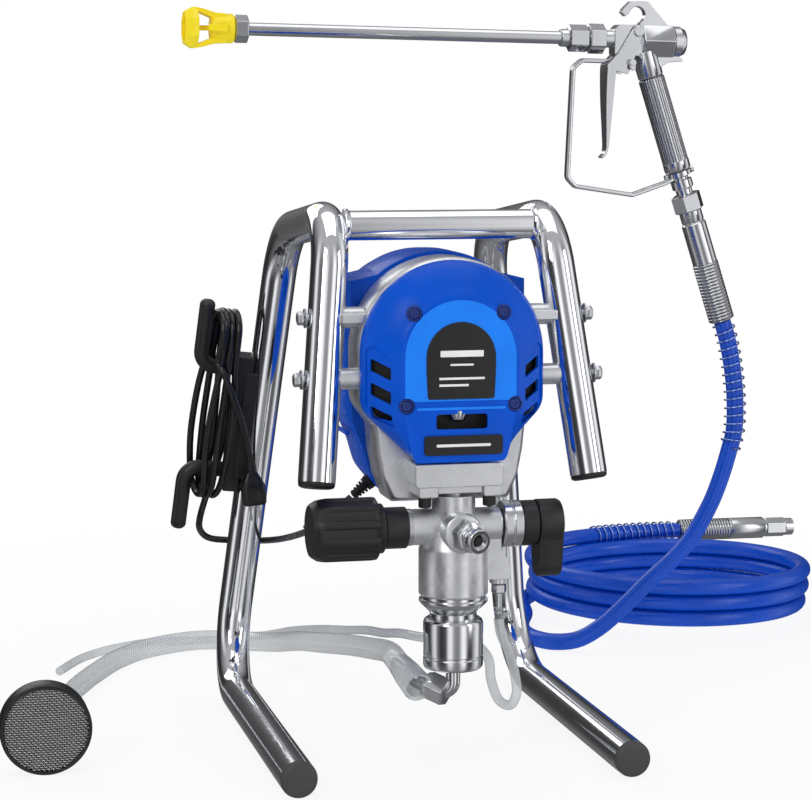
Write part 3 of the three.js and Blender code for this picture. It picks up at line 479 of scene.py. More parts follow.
def casting(name, slot, tint, rough=0.42, metallic=0.75):
    made = Finish(name, slot, tint, metallic, rough)
    made.vary(45, 0.07, 0.08)
    return made.bump(made.noise(1100, 4, 0.7), 0.15, 0.0003).material


def plastic(name, slot, color, rough=0.35, grain=1500, strength=0.15, **sockets):
    made = Finish(name, slot, color, 0.0, rough, **sockets)
    made.vary(26, 0.08, 0.05)
    return made.bump(made.noise(grain, 3), strength, 0.0002).material


def fluted(name, slot, tint, around):
    """Fine ridges along a metal sleeve, with painted shade that darkens the colour in the valleys between
    them.
    """
    made = Finish(name, slot, tint, 1.0, 0.28)
    made.vary(40, 0.1, 0.08)
    u, _ = made.route_uv()
    ridge = made.math("SINE", made.math("MULTIPLY", u, 2 * pi * around))
    # painted shade: the colour falls to 35 % of the tint in the valleys between the ridges
    shade = made.mix(made.span(ridge, -0.7, 0.5, 0, 1), tuple(c * 0.35 for c in tint), tint)
    made.paint("Base Color", shade)
    return made.bump(ridge, 0.35, 0.0005).material


def ringed(name, slot, tint, pitch):
    """Fine grooves around a crimped or threaded sleeve, with painted shade that darkens the colour in the
    grooves.
    """
    made = Finish(name, slot, tint, 1.0, 0.22)
    made.vary(40, 0.08, 0.05)
    _, v = made.route_uv()
    wave = made.math("SINE", made.math("MULTIPLY", v, 2 * pi * 10 / pitch))
    # painted shade: the colour darkens towards half the tint in the grooves of the wave
    made.paint("Base Color", made.mix(made.span(wave, -1, 1, 0.25, 1), tuple(c * 0.5 for c in tint), tint))
    return made.bump(wave, 0.8, 0.0006).material


def braided(name, slot):
    """Clear hose with a crossed thread inside its wall."""
    made = Finish(name, slot, (0.86, 0.88, 0.9), 0.0, 0.12, Coat_Weight=0.6, Coat_Roughness=0.05)
    u, v = made.route_uv()
    turn = made.math("MULTIPLY", u, 2 * pi * 8)
    climb = made.math("MULTIPLY", v, 2 * pi * 1.25)
    one = made.math("ABSOLUTE", made.math("SINE", made.math("ADD", turn, climb)))
    other = made.math("ABSOLUTE", made.math("SINE", made.math("SUBTRACT", turn, climb)))
    thread = made.span(made.math("MINIMUM", one, other), 0.0, 0.34, 1, 0)
    made.paint("Base Color", made.mix(thread, (0.5, 0.54, 0.57), (0.96, 0.97, 0.98)))
    made.paint("Alpha", made.span(thread, 0, 1, 0.5, 0.92))
    return made.bump(made.noise(300, 2), 0.1, 0.0003).material


def clear_tube(name, slot):
    made = Finish(name, slot, (0.62, 0.65, 0.67), 0.0, 0.1, Coat_Weight=0.5)
    made.vary(60, 0.1, 0.03)
    facing = made.node("ShaderNodeLayerWeight", {"Blend": 0.35}).outputs["Facing"]
    made.paint("Alpha", made.span(facing, 0, 1, 0.45, 0.9))
    return made.material


CHROME = chrome("chrome tube", "chrome_tube", (0.86, 0.87, 0.89), 0.07)
GUN_CHROME = chrome("gun plating", "gun_metal", (0.64, 0.65, 0.67), 0.15)
PUMP_CHROME = chrome("pump plating", "pump_chrome", (0.7, 0.71, 0.73), 0.17)
STEEL = casting("zinc steel", "bolt_steel", (0.62, 0.63, 0.65), 0.3, 1.0)
GEAR_STEEL = casting("machined steel", "gear_steel", (0.5, 0.51, 0.53), 0.3, 1.0)
CAST = casting("silver casting", "cast_grey", (0.72, 0.73, 0.75), 0.33, 0.85)
COPPER = casting("wound copper", "copper", (0.7, 0.33, 0.18), 0.4, 1.0)
BLUE = plastic("blue moulding", "blue_plastic", (0.0, 0.082, 0.6), 0.26, Specular_IOR_Level=0.14)
BLUE_PANEL = plastic("blue panel", "blue_plastic", (0.012, 0.22, 0.95), 0.24, Specular_IOR_Level=0.16)
SCREW_BLUE = plastic("dark blue screw", "blue_plastic", (0.0, 0.02, 0.18), 0.4)
CHARCOAL = plastic("charcoal moulding", "charcoal_plastic", (0.012, 0.012, 0.013), 0.42, 900, 0.3)
FOOT = plastic("foot rubber", "foot_grey", (0.05, 0.05, 0.052), 0.5, 900, 0.3)
# Real seal rubber for the gland and packing, and also the black of the painted shade in the cover and the
# outlet bore
RUBBER_AND_PAINTED_SHADE = plastic("seal rubber and painted shade", "seal_rubber", (0.01, 0.01, 0.01), 0.6, 700, 0.3)
CORD_BLACK = plastic("cord jacket", "cord_black", (0.008, 0.008, 0.009), 0.24, 900, 0.1)
STRAINER_BLACK = plastic("strainer rim", "strainer_black", (0.01, 0.01, 0.011), 0.4, 900, 0.3)
YELLOW = plastic("yellow moulding", "yellow_plastic", (1.0, 0.76, 0.0), 0.33, 1200, 0.2)
BADGE = plastic("black badge", "charcoal_plastic", (0.006, 0.006, 0.007), 0.2, 1500, 0.03)
PRINT = plastic("white print", "charcoal_plastic", (0.85, 0.85, 0.86), 0.4, 1500, 0.03)
HOSE = plastic("hose jacket", "hose_blue", (0.0, 0.07, 0.56), 0.28, 700, 0.02, Specular_IOR_Level=0.45)
SPRING = chrome("spring wire", "hose_blue", (0.3, 0.42, 0.85), 0.2)
KNURL = fluted("ribbed grip", "knurled_metal", (0.62, 0.63, 0.66), 30)
FITTING = chrome("hose fitting", "hose_fitting", (0.6, 0.61, 0.63), 0.2)
CRIMP = ringed("crimped sleeve", "hose_fitting", (0.6, 0.61, 0.63), 3.2)
SUCTION = braided("braided clear hose", "suction_clear")
RETURN = clear_tube("clear grey tube", "return_clear")
WIRE = chrome("strainer wire", "bolt_steel", (0.5, 0.5, 0.5), 0.35)


# ---------------------------------------------------------------- camera, floor and light
def make_camera():
    data = bpy.data.cameras.new("camera")
    data.lens = LENS
    data.sensor_width = SENSOR
    data.sensor_fit = "HORIZONTAL"
    data.clip_end = 100
    camera = bpy.data.objects.new("camera", data)
    camera.location = WORK @ Vector(CAMERA_AT)
    camera.rotation_euler = (radians(90 + CAMERA_PITCH), 0, radians(CAMERA_YAW))
    bpy.context.scene.collection.objects.link(camera)
    bpy.context.scene.camera = camera


def make_floor():
    """A pale floor that goes white far from the set and is left out of reflections."""
    slab = Shape().box(-FLOOR_REACH, FLOOR_REACH, -FLOOR_REACH, FLOOR_REACH, -FLOOR_DEPTH, 0)
    floor = bpy.data.objects.new("floor", slab.mesh("floor", WORK))
    bpy.context.scene.collection.objects.link(floor)
    material = bpy.data.materials.new("pale floor")
    material.use_nodes = True
    tree = material.node_tree
    shader = tree.nodes["Principled BSDF"]
    shader.inputs["Base Color"].default_value = (0.93, 0.93, 0.94, 1)
    shader.inputs["Roughness"].default_value = 0.7
    shader.inputs["Specular IOR Level"].default_value = 0.2
    glow = add_node(tree, "ShaderNodeEmission", {"Color": (1, 1, 1, 1)})
    spot = add_node(tree, "ShaderNodeTexCoord").outputs["Object"]
    length = add_node(tree, "ShaderNodeVectorMath", {0: spot}, operation="LENGTH").outputs["Value"]
    fade = span_node(tree, length, 0.35, 1.3, 0.88, interpolation_type="SMOOTHSTEP")
    blend = mix_shaders(tree, fade, shader.outputs[0], glow.outputs[0])
    hidden = add_node(tree, "ShaderNodeBsdfTransparent").outputs[0]
    ray = add_node(tree, "ShaderNodeLightPath").outputs["Is Glossy Ray"]
    surface = mix_shaders(tree, ray, blend, hidden)
    tree.links.new(surface, tree.nodes["Material Output"].inputs["Surface"])
    floor.data.materials.append(material)


SOFTBOXES = (
    (0.0, 0.35), (0.03, 0.5), (0.055, 1.5), (0.085, 1.5), (0.11, 0.1), (0.17, 0.04), (0.21, 0.25),
    (0.24, 1.4), (0.27, 0.9), (0.3, 0.1), (0.37, 0.03), (0.44, 0.06), (0.5, 0.2), (0.56, 0.05),
    (0.63, 0.03), (0.7, 0.1), (0.75, 1.5), (0.79, 0.9), (0.83, 0.06), (0.88, 0.08), (0.91, 1.7),
    (0.94, 1.7), (0.97, 0.4), (1.0, 0.35))


def softbox_ramp(tree, turn):
    """Bright panels and dark gaps around the horizon, as (place round it, level) pairs."""
    ramp = add_node(tree, "ShaderNodeValToRGB", {0: turn})
    elements = ramp.color_ramp.elements
    while len(elements) > 1:
        elements.remove(elements[-1])
    elements[0].position = SOFTBOXES[0][0]
    for place, _ in SOFTBOXES[1:]:
        elements.new(place)
    for element, (_, level) in zip(elements, SOFTBOXES):
        element.color = (level, level, level * 1.02, 1)
    return ramp.outputs[0]


def make_world():
    """A white room for the eye, and softboxes with dark gaps for what reflects."""
    world = bpy.data.worlds.new("studio")
    bpy.context.scene.world = world
    world.use_nodes = True
    tree = world.node_tree
    tree.nodes.clear()
    coords = add_node(tree, "ShaderNodeTexCoord").outputs["Generated"]
    x, y, z = add_node(tree, "ShaderNodeSeparateXYZ", {0: coords}).outputs
    angle = add_node(tree, "ShaderNodeMath", {0: x, 1: y}, operation="ARCTAN2").outputs[0]
    panels = softbox_ramp(tree, span_node(tree, angle, -pi, pi))
    dome = mix_colors(tree, span_node(tree, z, 0.25, 0.8), panels, (0.6, 0.6, 0.62))
    below = mix_colors(tree, span_node(tree, z, -0.25, -0.75), dome, (0.28, 0.28, 0.29))
    studio = add_node(tree, "ShaderNodeBackground", {"Color": below, "Strength": 0.74}).outputs[0]
    white = add_node(tree, "ShaderNodeBackground", {"Color": (1, 1, 1, 1)}).outputs[0]
    soft = add_node(tree, "ShaderNodeBackground", {"Color": (1, 1, 1.02, 1), "Strength": 0.5}).outputs[0]
    seen = add_node(tree, "ShaderNodeLightPath").outputs
    gloss = mix_shaders(tree, seen["Is Glossy Ray"], soft, studio)
    view = mix_shaders(tree, seen["Is Camera Ray"], gloss, white)
    add_node(tree, "ShaderNodeOutputWorld", {"Surface": view})


def add_light(name, at, target, size, power, color=(1, 1, 1)):
    data = bpy.data.lights.new(name, "AREA")
    data.shape = "RECTANGLE"
    data.size, data.size_y = size
    data.energy = power
    data.color = color
    lamp = bpy.data.objects.new(name, data)
    lamp.location = WORK @ Vector(at)
    aimed = (WORK @ Vector(target) - lamp.location).to_track_quat("-Z", "Y")
    lamp.rotation_euler = aimed.to_euler()
    bpy.context.scene.collection.objects.link(lamp)


def make_lights():
    add_light("key", (-1500, -1500, 1700), (0, 150, 300), (0.7, 1.3), 15)
    add_light("fill", (1700, -1100, 900), (100, 200, 300), (0.6, 1.4), 6)
    add_light("top", (100, 300, 2100), (100, 300, 0), (1.6, 1.6), 9)
    add_light("rim", (-600, 1900, 1300), (0, 200, 300), (1.2, 1.2), 7)
    bpy.context.scene.view_settings.view_transform = "Standard"


# ---------------------------------------------------------------- hoses and cords
HOSE_RUN = [
    (365, 430, 327.6), (369.8, 430, 312.5), (376, 430, 283), (379.5, 430, 250.8), (379, 430, 219.2),
    (374, 430, 199.6), (367.2, 430, 176.9), (358.6, 431, 153.2), (347.9, 432, 131.6), (336, 433, 111.9),
    (318.3, 435, 92.3), (296.8, 438, 72.7), (272.6, 442, 48), (249, 447, 26), (228, 454, 13),
    (208, 465, 9.3), (195, 484, 9), (191, 510, 9), (196, 545, 9), (207, 580, 9), (217, 606, 9)]
HOSE_TAIL = [(300, 748, 59.5), (345, 768, 59.5), (395, 777, 59.5), (445.6, 778.5, 59.4)]
SUCTION_RUN = [
    (-33, 79, 78), (-36, 100, 83), (-31, 150, 79), (-30, 230, 65.4), (-34, 300, 53.4), (-43, 370, 40.8),
    (-55.2, 430, 30.6), (-70, 490, 17.4), (-92, 532, 10.6), (-134, 548, 10.2), (-187, 524, 10.2),
    (-221, 484, 10.2), (-246, 436, 10.2), (-270, 380, 10.2), (-290, 320, 10.2), (-305, 260, 10.5),
    (-315, 210, 14), (-320, 172, 27), (-321.5, 152, 34)]
RETURN_RUN = [
    (38, 54, 124.4), (40, 54, 112), (46, 54, 98), (52, 55, 78), (55, 60, 60), (52, 70, 48), (46, 82, 50),
    (41, 88, 66), (40, 92, 82), (34, 100, 91), (20, 116, 95), (0, 140, 92), (-12, 190, 86),
    (-14, 250, 74), (-16, 310, 64), (-22, 370, 52), (-34, 430, 41), (-50, 490, 28), (-72, 548, 12),
    (-134, 573, 4.7), (-178, 575, 4.7), (-210.5, 560, 4.7), (-232.3, 543, 4.7), (-254.6, 516, 4.7),
    (-280, 466, 4.7)]
CORD_RUN = [
    (-67.8, 130, 215.7), (-72.4, 130, 211.8), (-78, 137, 204), (-81, 170, 190), (-85, 220, 174),
    (-91, 280, 158), (-98, 335, 146), (-110, 376, 139), (-130, 386, 138.5), (-148, 380, 142),
    (-159, 364, 152), (-162, 348, 166)]
PLUG_AT = (-118.5, 308, 184)
PLUG_AXIS = (-0.1, -0.1, 1)
STRAINER_AT = (-322, 113, 37.2)
HOSE_END_AT = (446, 778.6, 59.4)
HOSE_END_DIR = (1, 0.03, -0.01)


def side_x(z, side):
    return side * (TOP_HALF_WIDTH + SPLAY * (TOP_Z - z))


REAR_LEAN = (REAR_BOTTOM[0] - REAR_TOP[0]) / (REAR_TOP[1] - REAR_BOTTOM[1])


def bracket_frame(z):
    """(along the left rear leg, across towards the back, outward) at a height."""
    along = Vector((SPLAY, -REAR_LEAN, 1)).normalized()
    out = (Vector((-1, 0, 0)) + along * along.x).normalized()
    across = out.cross(along)
    made = Matrix((along, across, out)).transposed().to_4x4()
    at = (side_x(z, -1), REAR_BOTTOM[0] - (z - REAR_BOTTOM[1]) * REAR_LEAN, z)
    return Matrix.Translation(at) @ made


def paint_hose_route():
    """Down from the gun, across the floor, round the coil and off its top."""
    points = [Vector(p) for p in HOSE_RUN]
    sweep = 360 * COIL_TURNS + 38
    count = 24 * COIL_TURNS + 4
    for i in range(1, count + 1):
        done = sweep * i / count
        a = radians(180 - done)
        r = COIL_R + 18 * max(0, 1 - done / 70) ** 2 + 6 * max(0, (done - 1060) / 58)
        r += 3.0 * sin(radians(done * 0.83 + 40)) * min(1, done / 90)
        z = HOSE_FLOOR_Z + HOSE_D * max(0, done - 20) / 360
        points.append(Vector((COIL_X + r * cos(a), COIL_Y + r * sin(a), min(z, HOSE_TOP_Z))))
    return points + [Vector(p) for p in HOSE_TAIL]


def mains_cord_route():
    """Out of the gland, up to the bracket, round the hank, and down to the plug."""
    points = [Vector(p) for p in CORD_RUN]
    hank = bracket_frame(HANK_Z)
    straight = HANK_HALF - HANK_TURN_R - 3.2
    per_end, per_side = 9, 5
    for turn, layer in enumerate(HANK_LAYERS):
        after = HANK_LAYERS[min(turn + 1, len(HANK_LAYERS) - 1)]
        droop = (0, -3, 2, -5)[turn]
        loop = [(-straight + 2 * straight * k / per_side, HANK_TURN_R) for k in range(1, per_side + 1)]
        loop += [(straight + droop * 0.2 + HANK_TURN_R * sin(pi * k / per_end),
                  HANK_TURN_R * cos(pi * k / per_end)) for k in range(1, per_end)]
        loop += [(straight - 2 * straight * k / per_side, -HANK_TURN_R) for k in range(per_side + 1)]
        loop += [(-straight + droop * 0.4 - HANK_TURN_R * sin(pi * k / per_end),
                  -HANK_TURN_R * cos(pi * k / per_end)) for k in range(1, per_end)]
        if turn == len(HANK_LAYERS) - 1:
            loop = loop[:per_side + per_end + 1]
        for n, (a, c) in enumerate(loop):
            o = layer + (after - layer) * n / len(loop)
            fan = 1 + 0.95 * cos(min(1.0, abs(a + 22) / 70) * pi / 2)
            o = 41 + (o - 41) * fan + 2.4 * c / HANK_TURN_R
            points.append(hank @ Vector((a, c + 1.2 * sin(a * 0.07 + turn * 2), o)))
    lead_down = [(-149, 291.5, 306), (-142, 290.5, 288), (-134.5, 293, 268), (-128, 298, 247),
                 (-123.5, 303, 228), (-122.4, 304.2, 223.6)]
    return points + [Vector(p) for p in lead_down]


def tube_piece(name, route, diameter, finish, replaces, sides=20):
    shape = Shape().swept(route, circle(diameter / 2, sides))
    return piece(name, shape, finish, replaces=replaces, bevel=0, angle=60)


def spring_guard(name, route, start, end, pitch=8.4, wire=0.95):
    """A coil spring wound over a stretch of hose, in millimetres along it."""
    fine = even(route, 1.0)
    picked = fine[int(start):int(end)]
    side = (picked[1] - picked[0]).orthogonal()
    line = []
    for i, p in enumerate(picked):
        t = (picked[min(i + 1, len(picked) - 1)] - picked[max(i - 1, 0)]).normalized()
        side = (side - t * side.dot(t)).normalized()
        turn = 2 * pi * i / pitch
        r = HOSE_D / 2 + wire * 1.9
        line.append(p + (side * cos(turn) + t.cross(side) * sin(turn)) * r)
    shape = Shape().swept(smooth_route(line, 0.9), circle(wire, 7))
    return piece(name, shape, SPRING, bevel=0, angle=60)


def make_paint_hose():
    route = even(smooth_route(paint_hose_route(), 6), 6)
    hose = tube_piece("paint_hose", route, HOSE_D, HOSE,
                      ("paint_hose_run", "paint_hose_coil", "paint_hose_tail"), 24)
    upper = spring_guard("hose_guard_upper", route, 2, 128)
    total = path_length(route)
    lower = spring_guard("hose_guard_lower", route, total - 104, total - 2)
    end = make_hose_end()


def make_hose_end():
    m = aim(HOSE_END_DIR, HOSE_END_AT)
    sleeve = Shape().turned([(0, 0), (11, 0), (12, 1), (12, 60), (11.2, 62), (0, 62)], m=m)
    piece("hose_end_crimp", sleeve, CRIMP, bevel=0.3)
    barrel = [(0, 61), (11.6, 61), (12, 62), (12, 100), (11.4, 101.5), (8.6, 102), (8.6, 105), (0, 105)]
    shape = Shape().turned(barrel, 64, m)
    shape.hexagon(19, 104, 128, m)
    shape.pipe(9.6, 7.2, 127.5, 137, m=m)
    return piece("hose_end_nut", shape, FITTING, replaces="hose_end_fitting", bevel=0.4)


def make_mains_cord():
    route = even(smooth_route(mains_cord_route(), 4), 4)
    cord = tube_piece("mains_cord", route, CORD_D, CORD_BLACK, ("power_cord_lead", "power_cord_hank"), 14)
    plug = make_plug()


def make_plug():
    m = aim(PLUG_AXIS, PLUG_AT)
    body = soft_outline([(-11, -7.5), (11, -7.5), (11, 7.5), (-11, 7.5)], 5)
    levels = [(0, 0.86), (1, 0.95), (6, 1), (17, 0.97), (23, 0.74), (28, 0.5), (29.5, 0.42)]
    shape = Shape().loft([[(x * s, y * s, z) for x, y in body] for z, s in levels], m)
    relief = [(0, 29)]
    for n in range(4):
        relief += [(4.3 - n * 0.2, 29 + n * 2.7), (4.3 - n * 0.2, 30.6 + n * 2.7), (3.2, 30.7 + n * 2.7),
                   (3.2, 31.6 + n * 2.7)]
    shape.turned(relief + [(0, 39.8)], 32, m)
    for x in (-9, -5, -1, 3, 7):
        shape.box(x, x + 1.4, 6.6, 7.9, 8, 20, m)
    plug = piece("plug_body", shape, CORD_BLACK, replaces="power_plug", bevel=0.3)
    prongs = Shape()
    for x in (-4.6, 3.2):
        prongs.loft([[(x, -3, 0), (x + 1.4, -3, 0), (x + 1.4, 3, 0), (x, 3, 0)],
                     [(x, -3, -13), (x + 1.4, -3, -13), (x + 1.4, 3, -13), (x, 3, -13)],
                     [(x + 0.4, -2, -15), (x + 1, -2, -15), (x + 1, 2, -15), (x + 0.4, 2, -15)]], m)
    piece("plug_prongs", prongs, STEEL, bevel=0.2)
    return plug


def make_suction_tube():
    route = even(smooth_route(SUCTION_RUN, 5), 5)
    tube = tube_piece("suction_hose", route, SUCTION_D, SUCTION, "suction_tube", 32)
    strainer = make_strainer()
    start, toward = route[0], (route[3] - route[0]).normalized()
    r = SUCTION_D / 2
    cuff = [(r - 0.2, -25), (r + 2.4, -27), (r + 3, -25), (r + 2, -3), (r + 0.5, 12), (r - 0.2, 14)]
    piece("suction_cuff", Shape().turned(cuff, 48, aim(toward, start), loop=True), RETURN, bevel=0.3)


def make_strainer():
    m = aim(FRONT, STRAINER_AT)
    rim = Shape().turned([(34, -1.5), (35, -2), (36.2, -1.5), (37.2, -3), (37.2, -22), (35, -25),
                          (30, -28), (14, -29), (11, -32), (10, -36), (0, -36), (0, -6), (33, -6),
                          (34, -4)], 72, m)
    for n in range(RIM_RIBS):
        a = 2 * pi * n / RIM_RIBS
        rim.box(-0.9, 0.9, 36.3, 37.15, -20, -6, m @ Matrix.Rotation(a, 4, "Z"))
    body = piece("strainer_rim", rim, STRAINER_BLACK, replaces="strainer", bevel=0.5)
    make_strainer_mesh(m)
    return body


def make_strainer_mesh(m):
    """A woven mesh of round wires that bulges a little in the middle."""
    wires = Shape()
    pitch, r = WIRE_PITCH, MESH_R
    count = int(r / pitch)
    for n in range(-count, count + 1):
        half = sqrt(max(r * r - (n * pitch) ** 2, 0))
        steps = int(2 * half / (pitch / 2)) + 2
        for direction in (0, 1):
            line = []
            for k in range(steps + 1):
                s = -half + 2 * half * k / steps
                sag = 0.42 * cos(pi * (s / pitch + n + direction))
                lift = -2.6 + sag + 1.6 * (1 - (s * s + (n * pitch) ** 2) / (r * r))
                line.append((s, n * pitch, lift) if direction == 0 else (n * pitch, s, lift))
            if half > 1:
                wires.swept(line, circle(0.46, 5), m, up=(0, 0, 1))
    piece("strainer_mesh", wires, WIRE, bevel=0, angle=60)


def make_return_tube():
    route = even(smooth_route(RETURN_RUN, 3), 3)
    tube = tube_piece("return_hose", route, RETURN_D, RETURN, "return_tube", 24)


# ---------------------------------------------------------------- stand
def on_frame(side, spot):
    y, z = spot
    return Vector((side_x(z, side), y, z))


def leg_y(z):
    return LEG_END[0] + (z - LEG_END[1]) * (FRONT_TOP[0] - LEG_END[0]) / (TOP_Z - LEG_END[1])


def make_side_frame(side, label):
    corners = [on_frame(side, c) for c in (FOOT_END, REAR_BOTTOM, REAR_TOP, FRONT_TOP, LEG_END)]
    corners[0].y += CAP_LENGTH + 0.3
    shape = Shape().swept(rounded_path(corners, BEND_RADII), circle(TUBE_R, 56))
    piece(f"tube_frame_{label}", shape, CHROME, replaces=f"side_frame_{label}", bevel=0, angle=60)
    cap = [(0, 0), (11.5, 0), (13.4, 0.6), (14.4, 1.7), (14.75, 3), (14.75, 4), (13, 4), (12.9, 15.5),
           (0, 15.5)]
    foot = Shape().turned(cap, m=aim(BACK, on_frame(side, FOOT_END)))
    piece(f"foot_plug_{label}", foot, FOOT, replaces=f"foot_cap_{label}", bevel=0.2)
    end, top = on_frame(side, LEG_END), on_frame(side, FRONT_TOP)
    up = (top - end).normalized()
    plug = Shape().turned(cap, m=aim(up, end - up * (CAP_LENGTH + 0.3)))
    piece(f"leg_plug_{label}", plug, CHARCOAL, replaces=f"leg_cap_{label}", bevel=0.2)


def make_leg_bolts(side, label):
    inward = LEFT if side > 0 else RIGHT
    for n, z in enumerate(BOLT_HEIGHTS, 1):
        m = aim(inward, (side_x(z, side) + side * (TUBE_R + 3), leg_y(z), z))
        shape = Shape().hexagon(10, -5.8, 0.2, m)
        shape.turned([(0, -6), (3.5, -6), (4.4, -5.6), (4.4, -5), (0, -5)], 32, m)
        shape.turned([(3, 0), (7.6, 0), (8, 0.4), (8, 1.2), (7.4, 1.6), (3, 1.6)], 40, m, loop=True)
        shape.rod(3, 0, 38, 24, m)
        piece(f"leg_screw_{label}_{n}", shape, STEEL, replaces=f"leg_bolt_{label}_{n}", bevel=0.25)


def make_crossbar():
    reach = side_x(CROSSBAR_Z, 1) - TUBE_R * 0.72
    m = aim(RIGHT, (0, CROSSBAR_Y, CROSSBAR_Z))
    bar = Shape().turned([(0, -reach), (CROSSBAR_R, -reach), (CROSSBAR_R, reach), (0, reach)], 56, m)
    piece("cross_tube", bar, CHROME, replaces="crossbar", bevel=0)
    welds = Shape()
    for end in (-1, 1):
        bead = [(CROSSBAR_R - 0.6, end * (reach - 5)), (CROSSBAR_R + 1.3, end * (reach - 3.2)),
                (CROSSBAR_R + 2.0, end * (reach - 0.6)), (CROSSBAR_R - 0.6, end * reach)]
        welds.turned(bead, 56, m, loop=True)
    piece("cross_welds", welds, CHROME, bevel=0.3)


def make_bracket():
    hold = bracket_frame(BRACKET_Z)
    plate_outline = soft_outline([(-63, -11), (63, -11), (63, 11), (-63, 11)], 4)
    shape = Shape().slab(plate_outline, 14, 27, hold)
    shape.slab(soft_outline([(-49, -12.6), (49, -12.6), (49, 12.6), (-49, 12.6)], 4), 8.5, 20, hold)
    for a in (-56, 56):
        shape.turned([(0, 27), (4.6, 27), (4.2, 28.4), (0, 28.8)], 28, hold @ Matrix.Translation((a, 0, 0)))
    for start, out, tip in ((50, 60, 110), (-45, 62, -103)):
        sign = 1 if tip > 0 else -1
        path = rounded_path([(start, 0, 24), (start, 0, out), (tip - 6 * sign, 0, out)], (0, 13, 0), 12)
        shape.swept(path, circle(6.9, 36), hold)
        end = aim((sign, 0, 0), (tip - 6 * sign, 0, out))
        shape.turned([(6.9, 0), (6.9, 1.5), (6.2, 3.6), (4.2, 5.4), (0, 6)], 36, hold @ end)
        grip = aim((sign, 0, 0), (start + 15 * sign, 0, out))
        shape.turned([(6.5, 0), (7.0, 0.6), (7.0, 3), (6.5, 3.6)], 36, hold @ grip)
    piece("cord_hooks", shape, CHARCOAL, replaces="cord_bracket", bevel=0.5)


# ---------------------------------------------------------------- housing, cover and motor
def soft_arch(r, centre, side, radii):
    """A round top over right-hand points with rounded corners, mirrored to the left."""
    chain = [Vector(p) for p in ((r, centre), *side, (0, side[-1][1]))]
    right = []
    for before, here, after, radius in zip(chain, chain[1:], chain[2:], radii):
        back = min(radius, room(before, here, after, 0.48))
        right += corner_curve(before, here, after, back, 6)
    return arc(0, centre, r, 0, 180, 40) + [(-x, z) for x, z in right] + right[::-1]


def at_y(outline, y):
    return [(x, y, z) for x, z in outline]


def case_ring(inset):
    side = [(75.5 - inset, 300), (63 - inset, 283), (61 - inset, 262), (57 - inset, 241),
            (49 - inset, 221 + inset)]
    return soft_arch(76 - inset, 341, side, (8, 3, 2.5, 3, 3))


def make_housing():
    front = COVER_BACK + 0.6
    shell = Shape().loft([at_y(case_ring(3), front), at_y(case_ring(0.8), front + 3),
                          at_y(case_ring(0), front + 7),
                          at_y(case_ring(0), CASE_BACK - 3), at_y(case_ring(1.5), CASE_BACK)])
    chin = soft_outline([(-36, 236), (36, 236), (36, 255.2), (-36, 255.2)], 4)
    shell.plate(chin, 33, 72)
    for x0, x1 in ((-33, -17), (20, 35.4)):
        shell.plate(soft_outline([(x0, 228), (x1, 228), (x1, 246), (x0, 246)], 2.5), 33.7, 70)
    shell.plate(soft_outline([(-17, 230.5), (20, 230.5), (20, 244), (-17, 244)], 1.5), 37, 70)
    for side in (-1, 1):
        for z in BOLT_HEIGHTS:
            edge = abs(side_x(z, side)) - TUBE_R * 0.7
            x0, x1 = sorted((side * 68, side * edge))
            shell.box(x0, x1, front + 2, 103, z - 4, z + 4)
            shell.rod(8.6, x0, x1, 40, aim(RIGHT, (0, leg_y(z), z)))
    piece("housing_casting", shell, CAST, replaces="gear_housing", bevel=1.2, parts=3)


def make_pump_bolts():
    bolts = Shape()
    for x in (-25, 28):
        m = Matrix.Translation((x, 48, 0))
        bolts.turned([(0, 219.4), (2.3, 219.4), (2.3, 222), (2.6, 218.4), (4.6, 218.4), (5.2, 219.2),
                      (5.2, 227.9), (0, 227.9)], 32, m)
    piece("pump_bolts", bolts, CHARCOAL, bevel=0.3)


def cover_ring(inset, blend):
    """The cover's outline, from its face (blend 0) to its rim (blend 1)."""
    def step(a, b):
        return a + (b - a) * blend
    r = step(48, COVER_R) - inset
    side = [(step(47, COVER_R) - inset, step(304, COVER_CHAMFER)),
            (step(39, COVER_CHIN_HALF + 2) - inset, step(262, COVER_CHIN + 5) + inset),
            (step(36, COVER_CHIN_HALF - 3) - inset, COVER_CHIN + 0.5 + inset)]
    return soft_arch(r, COVER_CENTRE, side, (9, 4, 3))


COVER_SCREWS = ((-37.5, 375), (35, 375), (-43.5, 302), (44.5, 302))
COVER_PROFILE = ((30.2, 1.6, 0), (31.2, 0, 0.02), (34, 0, 0.13), (39, 0, 0.40), (45, 0, 0.69), (50, 0, 0.87),
                 (54, 0, 0.965), (58, 0, 1), (61.9, 0, 1))


def screw_wells(depth):
    """Cutters for the round wells that the cover's screws sit in."""
    return [(Shape().rod(6.4, 20, depth, 40, aim(BACK, (x, 0, z))), WORK) for x, z in COVER_SCREWS]


def vent_tool(outline, side, y0, y1, m, corner):
    """A cutter on the cover's slanted cheek; the outline is given for the right-hand side."""
    return Shape().plate(soft_outline([(side * x, z) for x, z in outline], corner), y0, y1, m)


